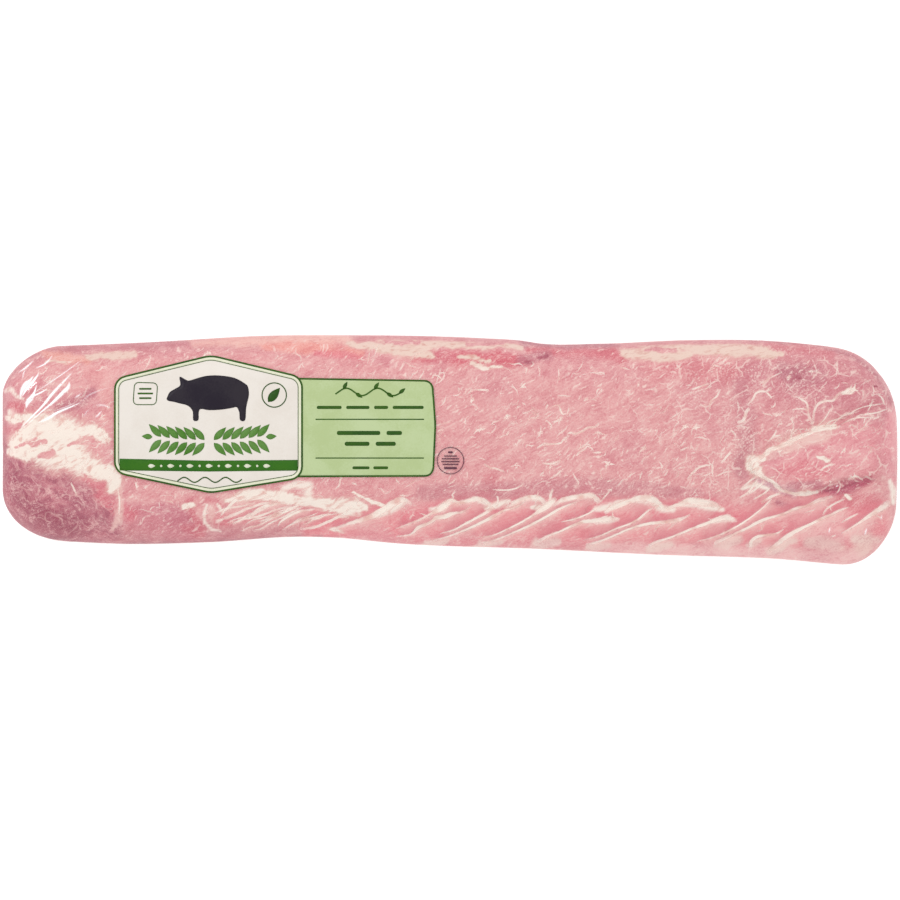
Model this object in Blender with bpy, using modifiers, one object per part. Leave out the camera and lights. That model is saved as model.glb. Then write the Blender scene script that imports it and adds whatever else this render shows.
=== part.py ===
"""A whole boneless pork loin, vacuum packed in clear shrink film with a printed label.

The loin lies on its fat side, so its lean face with the rib fingers looks up. +X runs along the
loin towards the end with the tongue of meat, +Y towards the chine edge, and +Z is up. The origin
is on the floor plane, under the middle of the loin.

The film is tight against the meat, so film and meat are one solid, packed_loin. The two printed
fields of the label lie on it as thin sheets.

Sizes are in millimetres, and metres() turns them into Blender's metres.
"""

import bmesh
import bpy
import numpy as np
from mathutils import noise

MILLIMETRE = 0.001

# Size of the packed loin
LENGTH = 580.0
CREST_HEIGHT = 63.0  # top of the lean face, along its highest line
BASE_EDGE_TOP = 22.0  # the rounding up from the floor ends here, where the flank stands upright
FLANK_TOP = 28.0  # the flank stands upright up to here, then rounds over to the lean face
HALF_LENGTH = LENGTH / 2

# Plan of the two long edges, as (x, y) from end to end, without the corners' rounding
CHINE_EDGE = ((-290, 66), (-194, 70), (-117, 73.9), (-68, 74.5), (-19, 73.9), (24, 72.2),
              (46, 70.8), (58, 68.9), (97, 68.7), (155, 71.3), (205, 70.9), (233, 68.6), (290, 60.8))
RIB_EDGE = ((-290, -57), (-204, -60.6), (-155, -59.2), (-97, -55.7), (-72, -56.6), (-38, -60.3),
            (58, -64.2), (136, -68.0), (214, -70.8), (255, -74.3), (290, -75))

# Corners in plan: how far they reach along the loin and across it, and how full they are
CORNERS = {
    ("left", "chine"): (37.0, 30.0, 1.75),
    ("right", "chine"): (43.0, 46.0, 2.4),
    ("left", "rib"): (42.0, 32.0, 2.15),
    ("right", "rib"): (36.0, 40.0, 2.05),
}
END_BULGE = 2.2  # the right end bows outwards by this much

# Rounding of the upper and the lower edges, seen in a cross-section
UPPER_ROUNDING = 30.0
UPPER_ROUNDING_AT_ENDS = 22.0
LOWER_ROUNDING = 20.0
ROUNDING_FULLNESS = 2.25

# Crown of the lean face: it falls away from its highest line towards both long edges and both ends
CREST_Y = 14.0
CROWN_CURVATURE = 0.0021
END_FALL = 4.0
UNDULATION = 1.3
UNDULATION_LENGTH = 78.0

# Rib fingers: long strips of meat that lap over each other along the rib edge. A seam is placed by
# where it crosses the line y = SEAM_LINE, and it climbs towards +X by SEAM_SLOPE and SEAM_BEND.
SEAM_LINE = -50.0
SEAM_CROSSINGS = (-84, -66, -51, -31, -18, 8, 38, 52, 74, 112, 124, 153, 184, 204, 229, 258, 284)
SEAM_SLOPE = 0.40
SEAM_BEND = 0.0012
FINGER_RISE = 2.8
WIDEST_FINGER = 26.0  # a finger this wide or wider has the full rise
FINGER_BAND = ((-105, -36), (-78, -31), (0, -32), (100, -33), (160, -35), (190, -24), (225, -27),
               (262, -24), (290, -14))
BAND_FADE = 5.0

# Tongue of meat that lies over the lean face at the right end, between these two lines
TONGUE_TOP = ((193, -8), (199, -3), (210, 2.5), (220, 8.5), (235, 13), (250, 16), (266, 24), (290, 33))
TONGUE_FOOT = ((193, -9), (199, -15.5), (207, -20), (220, -25.3), (233, -27), (250, -24), (290, -18))
TONGUE_RISE = 3.4
TONGUE_EDGE = 5.0
TONGUE_MOAT = 1.6  # depth of the crease round it

# Pad of fat near the left end, and the shallow valley left of the tongue
FAT_PAD_CENTRE = (-247.0, -5.0)
FAT_PAD_HALF_SIZE = (40.0, 20.0)
FAT_PAD_TURN = -0.35
FAT_PAD_RISE = 2.0
VALLEY = ((41, 187), (22, 191), (0, 192.5), (-20, 189))  # (y, x) down its length
VALLEY_DEPTH = 1.5
VALLEY_HALF_WIDTH = 8.0

# Label: a six-sided badge and a panel beside it, printed on the film
BADGE_LEFT = -216.5
BADGE_RIGHT = -94.4
BADGE_SIDE = (-15.5, 47.5)  # y where the upright sides end
BADGE_POINTS = (-27.6, 61.2)  # y of the lower and the upper point
BADGE_SHOULDER = 9.0  # rounding of the shoulders
PANEL_RIGHT = -9.0
PANEL_Y = (-17.5, 46.0)
PANEL_CORNER = 5.5
LABEL_CLEARANCE = 0.6  # under the sheets and between them
LABEL_THICKNESS = 0.5

# Fineness of the meshes
LOIN_STEP = 6.2
LOIN_FINE_STEP = 3.6  # across the loin, in the band of fingers
ROUND_STEP = 5.2
LABEL_STEP = 5.0

MEAT_PINK = (0.78, 0.40, 0.40, 1.0)
BADGE_CREAM = (0.86, 0.83, 0.76, 1.0)
PANEL_GREEN = (0.47, 0.58, 0.30, 1.0)


def metres(x, y, z):
    return np.stack([x, y, z], axis=-1) * MILLIMETRE


def ramp(value, low, high):
    """0 below low, 1 above high, and a smooth climb between."""
    t = np.clip((value - low) / (high - low), 0.0, 1.0)
    return t * t * (3.0 - 2.0 * t)


def through(points, at):
    """A smooth curve through hand-placed points, read at the places in at."""
    knots, values = np.array(points, float).T
    slopes = np.gradient(values, knots)
    at = np.clip(at, knots[0], knots[-1])
    i = np.clip(np.searchsorted(knots, at, side="right") - 1, 0, len(knots) - 2)
    gap = knots[i + 1] - knots[i]
    t = (at - knots[i]) / gap
    start = values[i] * (1 + 2 * t) * (1 - t) ** 2 + slopes[i] * gap * t * (1 - t) ** 2
    end = values[i + 1] * t * t * (3 - 2 * t) + slopes[i + 1] * gap * t * t * (t - 1)
    return start + end


def rolling(x, y, wavelength, seed):
    """Smooth noise of about -1 to 1 over the plan, the same on each run."""
    flat = zip(np.ravel(x) / wavelength, np.ravel(y) / wavelength)
    values = [noise.noise((a, b, seed)) for a, b in flat]
    return np.reshape(values, np.shape(x))


def corner_cut(x, end, side):
    """How far a corner's rounding takes the long edge in, at each x."""
    reach, depth, fullness = CORNERS[(end, side)]
    from_end = x + HALF_LENGTH if end == "left" else HALF_LENGTH - x
    t = np.clip((reach - from_end) / reach, 0.0, 1.0)
    return depth * (1.0 - (1.0 - t**fullness) ** (1.0 / fullness))


def long_edges(x):
    """Plan of the rib edge and of the chine edge, corners rounded."""
    rib = through(RIB_EDGE, x) + corner_cut(x, "left", "rib") + corner_cut(x, "right", "rib")
    chine = through(CHINE_EDGE, x) - corner_cut(x, "left", "chine") - corner_cut(x, "right", "chine")
    return rib, chine


def bow_right_end(x, y):
    """Moves the right end outwards at its middle, so that it isn't a straight cut."""
    across = 1.0 - np.clip(np.abs(y + 4.0) / 55.0, 0.0, 1.0) ** 2
    return x - END_BULGE * (1.0 - across) * ramp(x, HALF_LENGTH - 60.0, HALF_LENGTH)


def outline_points():
    """The loin's outline in plan, once round, close together at the corners."""
    samples = 200
    along = -np.cos(np.linspace(0.0, np.pi, samples)) * HALF_LENGTH
    rib, chine = long_edges(along)
    return np.concatenate([np.stack([along, rib], 1), np.stack([along, chine], 1)[::-1]])


def distance_inside(x, y):
    """Distance from each plan point to the loin's outline."""
    corners = outline_points()
    nearest = np.full(np.shape(x), np.inf)
    for (ax, ay), (bx, by) in zip(corners, np.roll(corners, -1, axis=0)):
        run, climb = bx - ax, by - ay
        t = np.clip(((x - ax) * run + (y - ay) * climb) / (run**2 + climb**2), 0.0, 1.0)
        nearest = np.minimum(nearest, (x - ax - t * run) ** 2 + (y - ay - t * climb) ** 2)
    return np.sqrt(nearest)


def rounding(t):
    """Quarter of a full ellipse: 0 at t 0, 1 from t 1 on."""
    t = np.clip(t, 0.0, 1.0)
    return (1.0 - (1.0 - t) ** ROUNDING_FULLNESS) ** (1.0 / ROUNDING_FULLNESS)


def seam_run(y):
    """How far along X a seam has run, from where it crosses y = SEAM_LINE."""
    rise = np.maximum(SEAM_SLOPE**2 + 4 * SEAM_BEND * (y - SEAM_LINE), 0.01)
    return (np.sqrt(rise) - SEAM_SLOPE) / (2 * SEAM_BEND)


def finger_relief(x, y):
    """Strips that rise steeply at their upper left seam and fall gently to the next one."""
    seams = np.array(SEAM_CROSSINGS, float)
    foot = x - seam_run(y)
    k = np.clip(np.searchsorted(seams, foot) - 1, 0, len(seams) - 2)
    width = seams[k + 1] - seams[k]
    share = np.clip((foot - seams[k]) / width, 0.0, 1.0)
    strip = (share**0.4) * (1.0 - share) ** 0.75 * 1.75
    on_strips = (foot > seams[0]) & (foot < seams[-1])
    size = np.clip(width / WIDEST_FINGER, 0.3, 1.0)
    in_band = 1.0 - ramp(y - through(FINGER_BAND, x), -BAND_FADE, 0.0)
    in_band = in_band * ramp(x, FINGER_BAND[0][0], FINGER_BAND[1][0])
    return np.where(on_strips, (strip - 0.6) * size * FINGER_RISE, 0.0) * in_band


def tongue_relief(x, y):
    """The tongue stands proud of the lean face, with a crease along its edge."""
    inside = np.minimum(through(TONGUE_TOP, x) - y, y - through(TONGUE_FOOT, x))
    inside = np.minimum(inside, (x - TONGUE_TOP[0][0]) * 0.9)
    body = TONGUE_RISE * rounding(inside / TONGUE_EDGE)
    crease = TONGUE_MOAT * np.exp(-((inside + 1.5) / 3.0) ** 2)
    return body - crease


def fat_pad_relief(x, y):
    dx, dy = x - FAT_PAD_CENTRE[0], y - FAT_PAD_CENTRE[1]
    along = dx * np.cos(FAT_PAD_TURN) + dy * np.sin(FAT_PAD_TURN)
    across = dy * np.cos(FAT_PAD_TURN) - dx * np.sin(FAT_PAD_TURN)
    reach = np.hypot(along / FAT_PAD_HALF_SIZE[0], across / FAT_PAD_HALF_SIZE[1])
    return FAT_PAD_RISE * (1.0 - ramp(reach, 0.6, 1.15))


def valley_relief(x, y):
    descending = sorted(VALLEY)
    middle = through(descending, y)
    span = ramp(y, VALLEY[-1][0] - 8, VALLEY[-1][0] + 8) * (1 - ramp(y, VALLEY[0][0] - 8, VALLEY[0][0] + 8))
    return -VALLEY_DEPTH * span * np.exp(-(((x - middle) / VALLEY_HALF_WIDTH) ** 2))


def face_height(x, y):
    """Height of the lean face above the floor, before its edges round down."""
    crown = CREST_HEIGHT - CROWN_CURVATURE * (y - CREST_Y) ** 2
    crown = crown - END_FALL * (x / HALF_LENGTH) ** 4
    crown = crown + UNDULATION * rolling(x, y, UNDULATION_LENGTH, 4.0)
    relief = finger_relief(x, y) + tongue_relief(x, y) + fat_pad_relief(x, y) + valley_relief(x, y)
    return crown + relief


def top_height(x, y):
    """Height of the film's upper surface over the whole plan."""
    near_end = ramp(np.abs(x), HALF_LENGTH - 60.0, HALF_LENGTH - 10.0)
    reach = UPPER_ROUNDING + (UPPER_ROUNDING_AT_ENDS - UPPER_ROUNDING) * near_end
    rise = rounding(distance_inside(x, y) / reach)
    return FLANK_TOP + (face_height(x, y) - FLANK_TOP) * rise


def under_height(x, y):
    """Height of the underside, which is flat where the loin rests."""
    return BASE_EDGE_TOP * (1.0 - rounding(distance_inside(x, y) / LOWER_ROUNDING))


def eased_stations(low, high, edge, steps_between):
    """Places from low to high: close together over the rounded edge at either end."""
    turns = max(2, round(edge * np.pi / 2 / ROUND_STEP))
    quarter = edge * (1.0 - np.cos(np.linspace(0.0, np.pi / 2, turns + 1)))
    return np.concatenate([low + quarter[:-1], steps_between, high - quarter[::-1][1:]])


def loin_stations():
    """Grid places along the loin, and across it as a share of its width."""
    edge = UPPER_ROUNDING_AT_ENDS
    count = round((LENGTH - 2 * edge) / LOIN_STEP)
    between = np.linspace(-HALF_LENGTH + edge, HALF_LENGTH - edge, count + 1)
    along = eased_stations(-HALF_LENGTH, HALF_LENGTH, edge, between)
    width, edge, band = 136.0, 24.0, 42.0
    fine = np.arange(edge, band, LOIN_FINE_STEP)
    coarse = np.linspace(band, width - edge, round((width - edge - band) / LOIN_STEP) + 1)
    across = eased_stations(0.0, width, edge, np.concatenate([fine, coarse]))
    return along, across / width


def grid_cube(name, columns, rows):
    """A cube primitive whose top and bottom are cut into a grid, with corners at 0 and 1."""
    mesh = bpy.data.meshes.new(name)
    bm = bmesh.new()
    bmesh.ops.create_cube(bm, size=1.0)
    bmesh.ops.translate(bm, verts=bm.verts, vec=(0.5, 0.5, 0.5))
    for axis, cuts in ((0, columns - 1), (1, rows - 1)):
        along = [e for e in bm.edges if abs(e.verts[0].co[axis] - e.verts[1].co[axis]) > 0.5]
        bmesh.ops.subdivide_edges(bm, edges=along, cuts=cuts, use_grid_fill=True)
    bm.to_mesh(mesh)
    bm.free()
    return mesh


def positions_of(mesh):
    flat = np.zeros(len(mesh.vertices) * 3)
    mesh.vertices.foreach_get("co", flat)
    return flat.reshape(-1, 3).T


def move_to(mesh, points):
    mesh.vertices.foreach_set("co", points.ravel())
    mesh.update()


def add_object(name, mesh, collection, colour, roughness):
    material = bpy.data.materials.new(name)
    material.use_nodes = True
    shader = material.node_tree.nodes["Principled BSDF"]
    shader.inputs["Base Color"].default_value = colour
    shader.inputs["Roughness"].default_value = roughness
    shader.inputs["Metallic"].default_value = 0.0
    mesh.materials.append(material)
    mesh.shade_smooth()
    obj = bpy.data.objects.new(name, mesh)
    collection.objects.link(obj)
    return obj


def make_loin(collection):
    along, across = loin_stations()
    mesh = grid_cube("packed_loin", len(along) - 1, len(across) - 1)
    u, v, w = positions_of(mesh)
    x = np.interp(u, np.linspace(0, 1, len(along)), along)
    share = np.interp(v, np.linspace(0, 1, len(across)), across)
    rib, chine = long_edges(x)
    y = rib + (chine - rib) * share
    z = np.where(w > 0.5, top_height(x, y), under_height(x, y))
    move_to(mesh, metres(bow_right_end(x, y), y, z))
    return add_object("packed_loin", mesh, collection, MEAT_PINK, 0.35)


def badge_edges(x):
    """Lower and upper edge of the badge: two slopes that meet in a blunt point, shoulders rounded."""
    middle, half = (BADGE_LEFT + BADGE_RIGHT) / 2, (BADGE_RIGHT - BADGE_LEFT) / 2
    out = np.abs(x - middle) / half
    blunt = np.sqrt(out**2 + 0.004) - 0.06
    t = np.clip((out * half - (half - BADGE_SHOULDER)) / BADGE_SHOULDER, 0.0, 1.0)
    cut = BADGE_SHOULDER * 0.55 * (1.0 - np.sqrt(1.0 - t**2))
    lower = BADGE_POINTS[0] + (BADGE_SIDE[0] - BADGE_POINTS[0]) * blunt + cut
    upper = BADGE_POINTS[1] - (BADGE_POINTS[1] - BADGE_SIDE[1]) * blunt - cut
    return lower, upper


def panel_edges(x):
    t = np.clip((x - (PANEL_RIGHT - PANEL_CORNER)) / PANEL_CORNER, 0.0, 1.0)
    cut = PANEL_CORNER * (1.0 - np.sqrt(1.0 - t**2))
    return PANEL_Y[0] + cut, PANEL_Y[1] - cut


def make_label(name, left, right, edges, collection, colour):
    """A thin sheet that follows the film, cut to the outline that edges gives."""
    mesh = bpy.data.meshes.new(name)
    columns, rows = round((right - left) / LABEL_STEP), round((PANEL_Y[1] - PANEL_Y[0]) / LABEL_STEP)
    bm = bmesh.new()
    bmesh.ops.create_grid(bm, x_segments=columns, y_segments=rows, size=0.5)
    bm.to_mesh(mesh)
    bm.free()
    u, v, _ = positions_of(mesh) + 0.5
    x = (left + right) / 2 - (right - left) / 2 * np.cos(np.pi * u)
    x = 0.4 * x + 0.6 * (left + (right - left) * u)
    lower, upper = edges(x)
    y = lower + (upper - lower) * v
    move_to(mesh, metres(x, y, top_height(x, y) + LABEL_CLEARANCE))
    obj = add_object(name, mesh, collection, colour, 0.4)
    solid = obj.modifiers.new("thickness", "SOLIDIFY")
    solid.thickness = LABEL_THICKNESS * MILLIMETRE
    solid.offset = 1.0
    return obj


def main():
    for obj in list(bpy.data.objects):
        bpy.data.objects.remove(obj)
    collection = bpy.data.collections.new("Packed pork loin")
    bpy.context.scene.collection.children.link(collection)
    make_loin(collection)
    make_label("label_badge", BADGE_LEFT, BADGE_RIGHT, badge_edges, collection, BADGE_CREAM)
    panel_left = BADGE_RIGHT + LABEL_CLEARANCE
    make_label("label_panel", panel_left, PANEL_RIGHT, panel_edges, collection, PANEL_GREEN)


main()
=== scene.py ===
"""Looks of a whole boneless pork loin in clear vacuum shrink film, lying on its fat side.

The meat, the film round it and the print on the film are made here as fine meshes, in the frame of
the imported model: +X along the loin, +Y towards the chine edge, +Z up, origin on the floor under the
middle. Sizes are in millimetres, and add_mesh() turns them into Blender's metres.
"""

import math

import bpy
import numpy as np
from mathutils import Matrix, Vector, geometry, noise
from mathutils.bvhtree import BVHTree


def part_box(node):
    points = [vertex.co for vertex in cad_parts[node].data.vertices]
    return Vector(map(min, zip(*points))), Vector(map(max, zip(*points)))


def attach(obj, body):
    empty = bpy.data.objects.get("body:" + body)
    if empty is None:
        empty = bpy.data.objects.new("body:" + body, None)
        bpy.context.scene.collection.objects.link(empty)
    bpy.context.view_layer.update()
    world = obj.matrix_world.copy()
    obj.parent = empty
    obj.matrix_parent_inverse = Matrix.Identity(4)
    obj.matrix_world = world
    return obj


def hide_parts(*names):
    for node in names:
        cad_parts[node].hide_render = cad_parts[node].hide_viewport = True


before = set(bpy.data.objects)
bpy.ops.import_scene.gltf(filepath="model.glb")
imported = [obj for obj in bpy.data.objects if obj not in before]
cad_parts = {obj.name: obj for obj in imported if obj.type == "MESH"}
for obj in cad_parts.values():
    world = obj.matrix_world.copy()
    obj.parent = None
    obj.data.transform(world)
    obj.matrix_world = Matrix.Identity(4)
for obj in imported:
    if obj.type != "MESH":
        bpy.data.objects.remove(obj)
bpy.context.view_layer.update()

MILLIMETRE = 0.001
LOW, HIGH = (np.array(corner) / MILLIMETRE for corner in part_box("packed_loin"))

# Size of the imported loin
LENGTH = HIGH[0] - LOW[0]
HALF_LENGTH = LENGTH / 2
CREST_HEIGHT = 63.0  # top of the lean face, along its highest line
BASE_EDGE_TOP = 22.0  # the rounding up from the floor ends here, where the flank stands upright
FLANK_TOP = 28.0  # the flank stands upright up to here, then rounds over to the lean face

# Plan of the two long edges, as (x, y) from end to end, without the corners' rounding
CHINE_EDGE = ((-290, 66), (-194, 70), (-117, 74.2), (-68, 74.5), (-19, 74), (24, 72.4),
              (46, 71), (58, 69.2), (97, 69), (155, 71.3), (205, 70.9), (233, 68.6), (290, 60.8))
RIB_EDGE = ((-290, -57), (-204, -61), (-155, -59.8), (-97, -56.3), (-72, -57), (-38, -60.3),
            (58, -64.2), (136, -68.0), (214, -70.8), (255, -74.3), (290, -75))

# Corners in plan: how far they reach along the loin and across it, and how full they are
CORNERS = {
    ("left", "chine"): (37.0, 30.0, 1.75),
    ("right", "chine"): (43.0, 46.0, 2.4),
    ("left", "rib"): (42.0, 32.0, 2.15),
    ("right", "rib"): (36.0, 40.0, 2.05),
}
END_BULGE = 2.2  # the right end bows outwards by this much
END_BULGE_REACH = 60.0  # and the bow begins this far from it
END_BULGE_MIDDLE_Y = -4.0
END_BULGE_HALF_SPAN = 55.0

# Rounding of the upper and the lower edges, seen in a cross-section
UPPER_ROUNDING = 30.0
UPPER_ROUNDING_AT_ENDS = 22.0
ROUNDING_NARROWS = (60.0, 10.0)  # it narrows between these distances from the ends
LOWER_ROUNDING = 20.0
ROUNDING_FULLNESS = 2.25

# Crown of the lean face: it falls away from its highest line towards both long edges and both ends
CREST_Y = 14.0
CROWN_CURVATURE = 0.0021
END_FALL = 4.0
UNDULATION = 1.3
UNDULATION_LENGTH = 78.0

# Fingers: strips of meat that lap over each other along the rib edge. Each edge is the upper left
# border of one strip, as (x, y, half-width of its line of fat), from its foot up to its tip.
FINGER_EDGES = (
    ((-148, -42, 0.4), (-144, -37.6, 0.6), (-137.4, -31.8, 0.8), (-129.6, -29.8, 0.5)),
    ((-131, -44, 0.4), (-123, -37.6, 0.6), (-116.6, -35.6, 0.7), (-110, -34.3, 0.5), (-104, -35, 0.3)),
    ((-123, -46.7, 0.3), (-113.4, -43.4, 0.5), (-103.7, -38.2, 0.6), (-97.2, -35.6, 0.4)),
    ((-111.5, -49.2, 0.3), (-108.2, -45.4, 0.5), (-98.5, -40.2, 0.6), (-87.5, -38.2, 0.4)),
    ((-78, -52, 0.5), (-63.5, -47, 0.8), (-52, -43.5, 1.3), (-42, -38, 1.6), (-35.5, -33.5, 1.5),
     (-30.5, -32, 1.3), (-24.5, -35, 0.8)),
    ((-35.5, -51, 0.4), (-27, -48, 0.45), (-19.5, -45, 0.5), (-13, -41.5, 0.6), (-8, -39, 1.2),
     (-2.5, -35.5, 1.4), (0.5, -32.5, 0.9), (6.5, -34, 0.7), (13, -32.5, 1.0), (19, -31.5, 1.1),
     (23.5, -33.5, 1.0), (26.5, -36.5, 0.8)),
    ((-35, -56, 0.4), (-25.5, -54.5, 0.4), (-20.5, -50, 0.8), (-13, -47, 0.7), (-9, -44, 1.0),
     (-3, -43, 1.1), (2, -41, 0.8), (8, -40, 0.5), (13.5, -36.5, 0.4)),
    ((-6.5, -54, 0.3), (1.5, -52, 0.35), (8.5, -48.5, 0.5), (16, -44.5, 0.6), (24, -40, 0.8),
     (28.5, -37, 1.0)),
    ((-13, -59, 0.6), (-3, -56.5, 0.4), (6.5, -53, 0.5), (16, -49, 0.6), (26, -44, 0.8),
     (30.5, -41.5, 0.7), (35, -39, 0.5), (41, -37.5, 0.5), (46, -35, 0.5), (49, -32.5, 0.5)),
    ((34.5, -37.5, 0.5), (40, -35.5, 0.8), (45.5, -32.5, 1.1), (50, -31, 1.1), (55, -30.5, 1.1),
     (59, -32, 1.1), (61.5, -35, 1.2)),
    ((18, -56.5, 0.3), (27, -55.5, 0.35), (35.5, -52, 0.4), (45.5, -47, 0.45), (54, -42, 0.6),
     (59, -38.5, 1.3), (64, -35.5, 1.4), (68.5, -31, 0.8)),
    ((21.5, -60.5, 0.7), (32.5, -57, 0.45), (42, -53, 0.5), (52, -48.5, 0.6), (61.5, -43.5, 0.6),
     (68, -39.5, 0.6), (73, -37, 0.5), (79, -34.5, 0.4), (84, -33, 0.3)),
    ((66.5, -36.5, 0.6), (72, -32.5, 1.0), (78, -31, 1.1), (84, -30, 1.1), (90.5, -29, 1.0),
     (94.5, -31.5, 1.2), (96.5, -34.5, 1.4)),
    ((72, -46.5, 0.3), (81, -44.5, 0.4), (89.5, -41, 0.4), (94.5, -37.5, 0.6)),
    ((56.5, -59.5, 0.9), (63.5, -55.5, 0.6), (71.5, -52.5, 0.5), (79, -49, 0.6), (86, -46.5, 0.8),
     (94.5, -45.5, 1.1), (102.5, -44.5, 1.4), (108.5, -44.5, 0.8)),
    ((100, -41, 0.7), (104.5, -37.5, 1.2), (110, -35.5, 1.3), (116.5, -33, 1.1), (121, -31.5, 1.3),
     (127, -31, 1.5), (132, -32.5, 1.5), (135.5, -35, 1.1), (138.5, -38, 1.1)),
    ((86, -58.5, 0.3), (97, -55.5, 0.35), (107, -51, 0.4), (115.5, -48, 0.4), (122, -44.5, 0.5),
     (127, -40, 0.5), (131, -37.5, 0.4)),
    ((88, -61.5, 0.8), (95.5, -59.5, 0.55), (103.5, -56.5, 0.5), (113.5, -52, 0.5), (122, -49, 0.6),
     (129.5, -47.5, 0.7), (139.5, -46.5, 0.8), (146.5, -45.5, 1.1), (151, -44, 0.7), (155.5, -41.5, 0.4)),
    ((128.5, -62, 0.8), (133.5, -59.5, 0.6), (141.5, -57, 0.5), (149, -54, 0.5), (157.5, -50.5, 0.6),
     (166, -47.5, 0.8), (173.5, -44.5, 1.1), (179.5, -43.5, 1.4), (184, -45.5, 0.9)),
    ((136.5, -39.5, 0.6), (142.5, -37, 0.8), (149, -35, 1.0), (154, -33, 1.4), (162, -33.5, 1.8),
     (170, -35, 1.3), (175, -37, 0.7)),
    ((160, -59, 0.3), (168.5, -57, 0.35), (176.5, -54, 0.4), (184.5, -50, 0.45), (192.5, -45, 0.45),
     (199, -40, 0.45), (204, -35.5, 0.5), (208, -31, 0.4)),
    ((171, -60.5, 0.9), (177, -57.5, 0.8), (184.5, -54, 0.6), (192, -50.5, 0.6), (199.5, -46.5, 0.8),
     (207.5, -43.5, 0.6), (215, -41.5, 0.5), (223, -38, 0.7), (230.5, -36, 0.5), (238.5, -32.5, 0.9),
     (247.5, -30, 0.7)),
    ((194.5, -63, 0.8), (195, -59, 0.8), (199, -56, 0.7), (205, -55, 0.5), (211, -54, 0.4), (216, -51, 0.3)),
    ((206, -65.5, 0.9), (211, -61.5, 1.0), (217, -56.5, 1.1), (223.5, -52.5, 0.9), (232, -48.5, 0.7),
     (240, -44.5, 0.7), (247, -41.5, 0.6), (253, -38.5, 0.5), (258, -37, 0.4)),
    ((253, -54, 0.3), (260, -50, 0.5), (266, -46, 0.6), (272, -42, 0.9), (279, -37.5, 1.3),
     (285, -33.5, 1.5)),
)
FINGER_RISE = 2.4
FINGER_REACH = 30.0
FINGER_EDGE_ROUNDING = 0.9
FINGER_FALL = 9.0  # a finger's height falls away over this distance from its edge
FINGER_END_FADE = 7.0  # and over this distance from either end of its edge
FINGER_MEAN = 0.35

# The fingers' band ends at this line across the lean face, as (x, y)
FINGER_BAND = ((-130, -40), (-105, -34), (-78, -30), (0, -29), (100, -28), (160, -29), (190, -22),
               (225, -25), (262, -22), (290, -12))
BAND_FADE = 5.0

# Tongue of meat that lies over the lean face at the right end, between these two lines
TONGUE_TOP = ((193, -4.5), (198, -3.5), (203, -2.5), (207, 1), (212.5, 3), (221.5, 7.5), (230, 11.7),
              (240, 15), (250, 16.5), (266, 24), (290, 33))
TONGUE_FOOT = ((193, -7), (196, -16), (204, -19.5), (210.5, -23.5), (220, -26.5), (230, -27.2),
               (238.5, -26), (251, -20.5), (262, -19), (290, -16))
TONGUE_RISE = 3.4
TONGUE_TIP = (192.0, 232.0)  # it gains the second half of its height between these places
TONGUE_TIP_SLANT = 0.9  # distance in from the tongue's edge, for each mm along from its tip
TONGUE_EDGE = 2.6
TONGUE_MOAT = 1.2
TONGUE_MOAT_OUTSIDE = 1.5  # the moat's lowest line lies this far outside the edge
TONGUE_MOAT_WIDTH = 2.4

# Pad of fat near the left end, and the shallow valley left of the tongue
FAT_PAD_CENTRE = (-247.0, -5.0)
FAT_PAD_HALF_SIZE = (40.0, 20.0)
FAT_PAD_TURN = -0.35
FAT_PAD_RISE = 2.0
FAT_PAD_EDGE = (0.6, 1.15)  # it falls away between these shares of its half-size
VALLEY = ((-20, 189), (0, 192.5), (22, 191), (41, 187))  # (y, x) up its length
VALLEY_DEPTH = 1.5
VALLEY_HALF_WIDTH = 8.0
VALLEY_END_FADE = 8.0

# Film: it bridges the creases in the meat
FILM_GAP = 0.4
FILM_OVER_FINGERS = 1.3
FILM_IN_VALLEY = 0.6  # share of the valley's depth that it follows
FILM_TONGUE_RAMP = (-6.5, 3.5)  # it climbs over the tongue's edge between these distances inside it

# Points of the meshes: their spacing along, across and over the rounded edges, and rows below
MEAT_MESH = (1.05, 0.88, 2.0, 10)
FILM_MESH = (2.0, 1.8, 2.4, 14)
MESH_WIDTH, MESH_EDGE = 136.0, 24.0  # width of the loin and of its rounded edges that they reckon with
OUTLINE_STOPS = 200


# Helpers for shapes


def ramp(value, low, high):
    """0 below low, 1 above high, and a smooth climb between."""
    t = np.clip((value - low) / (high - low), 0.0, 1.0)
    return t * t * (3.0 - 2.0 * t)


def hermite(start, end, start_slope, end_slope, t):
    """Smooth curve from start to end, leaving and arriving with the given slopes."""
    leaving = start * (1 + 2 * t) * (1 - t) ** 2 + start_slope * t * (1 - t) ** 2
    return leaving + end * t * t * (3 - 2 * t) + end_slope * t * t * (t - 1)


def through(points, at):
    """A smooth curve through given (place, value) points, read at the places in at."""
    knots, values = np.array(points, float).T
    slopes = np.gradient(values, knots)
    at = np.clip(at, knots[0], knots[-1])
    i = np.clip(np.searchsorted(knots, at, side="right") - 1, 0, len(knots) - 2)
    gap = knots[i + 1] - knots[i]
    t = (at - knots[i]) / gap
    return hermite(values[i], values[i + 1], slopes[i] * gap, slopes[i + 1] * gap, t)


def smooth_path(points, pieces=3):
    """Points of a smooth curve through the given ones, which may have any number of values each."""
    knots = np.array(points, float)
    slopes = np.gradient(knots, axis=0)
    at = np.linspace(0, len(knots) - 1, (len(knots) - 1) * pieces + 1)
    i = np.minimum(at.astype(int), len(knots) - 2)
    return hermite(knots[i], knots[i + 1], slopes[i], slopes[i + 1], (at - i)[:, None])


def rolling(x, y, wavelength, seed):
    """Smooth noise of about -1 to 1 over the plan, the same on each run."""
    flat = zip(np.ravel(x) / wavelength, np.ravel(y) / wavelength)
    values = [noise.noise((a, b, seed)) for a, b in flat]
    return np.reshape(values, np.shape(x))


def ripples(x, y, layers):
    """Sum of several layers of such noise, each given as (height, wavelength, seed)."""
    return sum(height * rolling(x, y, wavelength, seed) for height, wavelength, seed in layers)


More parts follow.
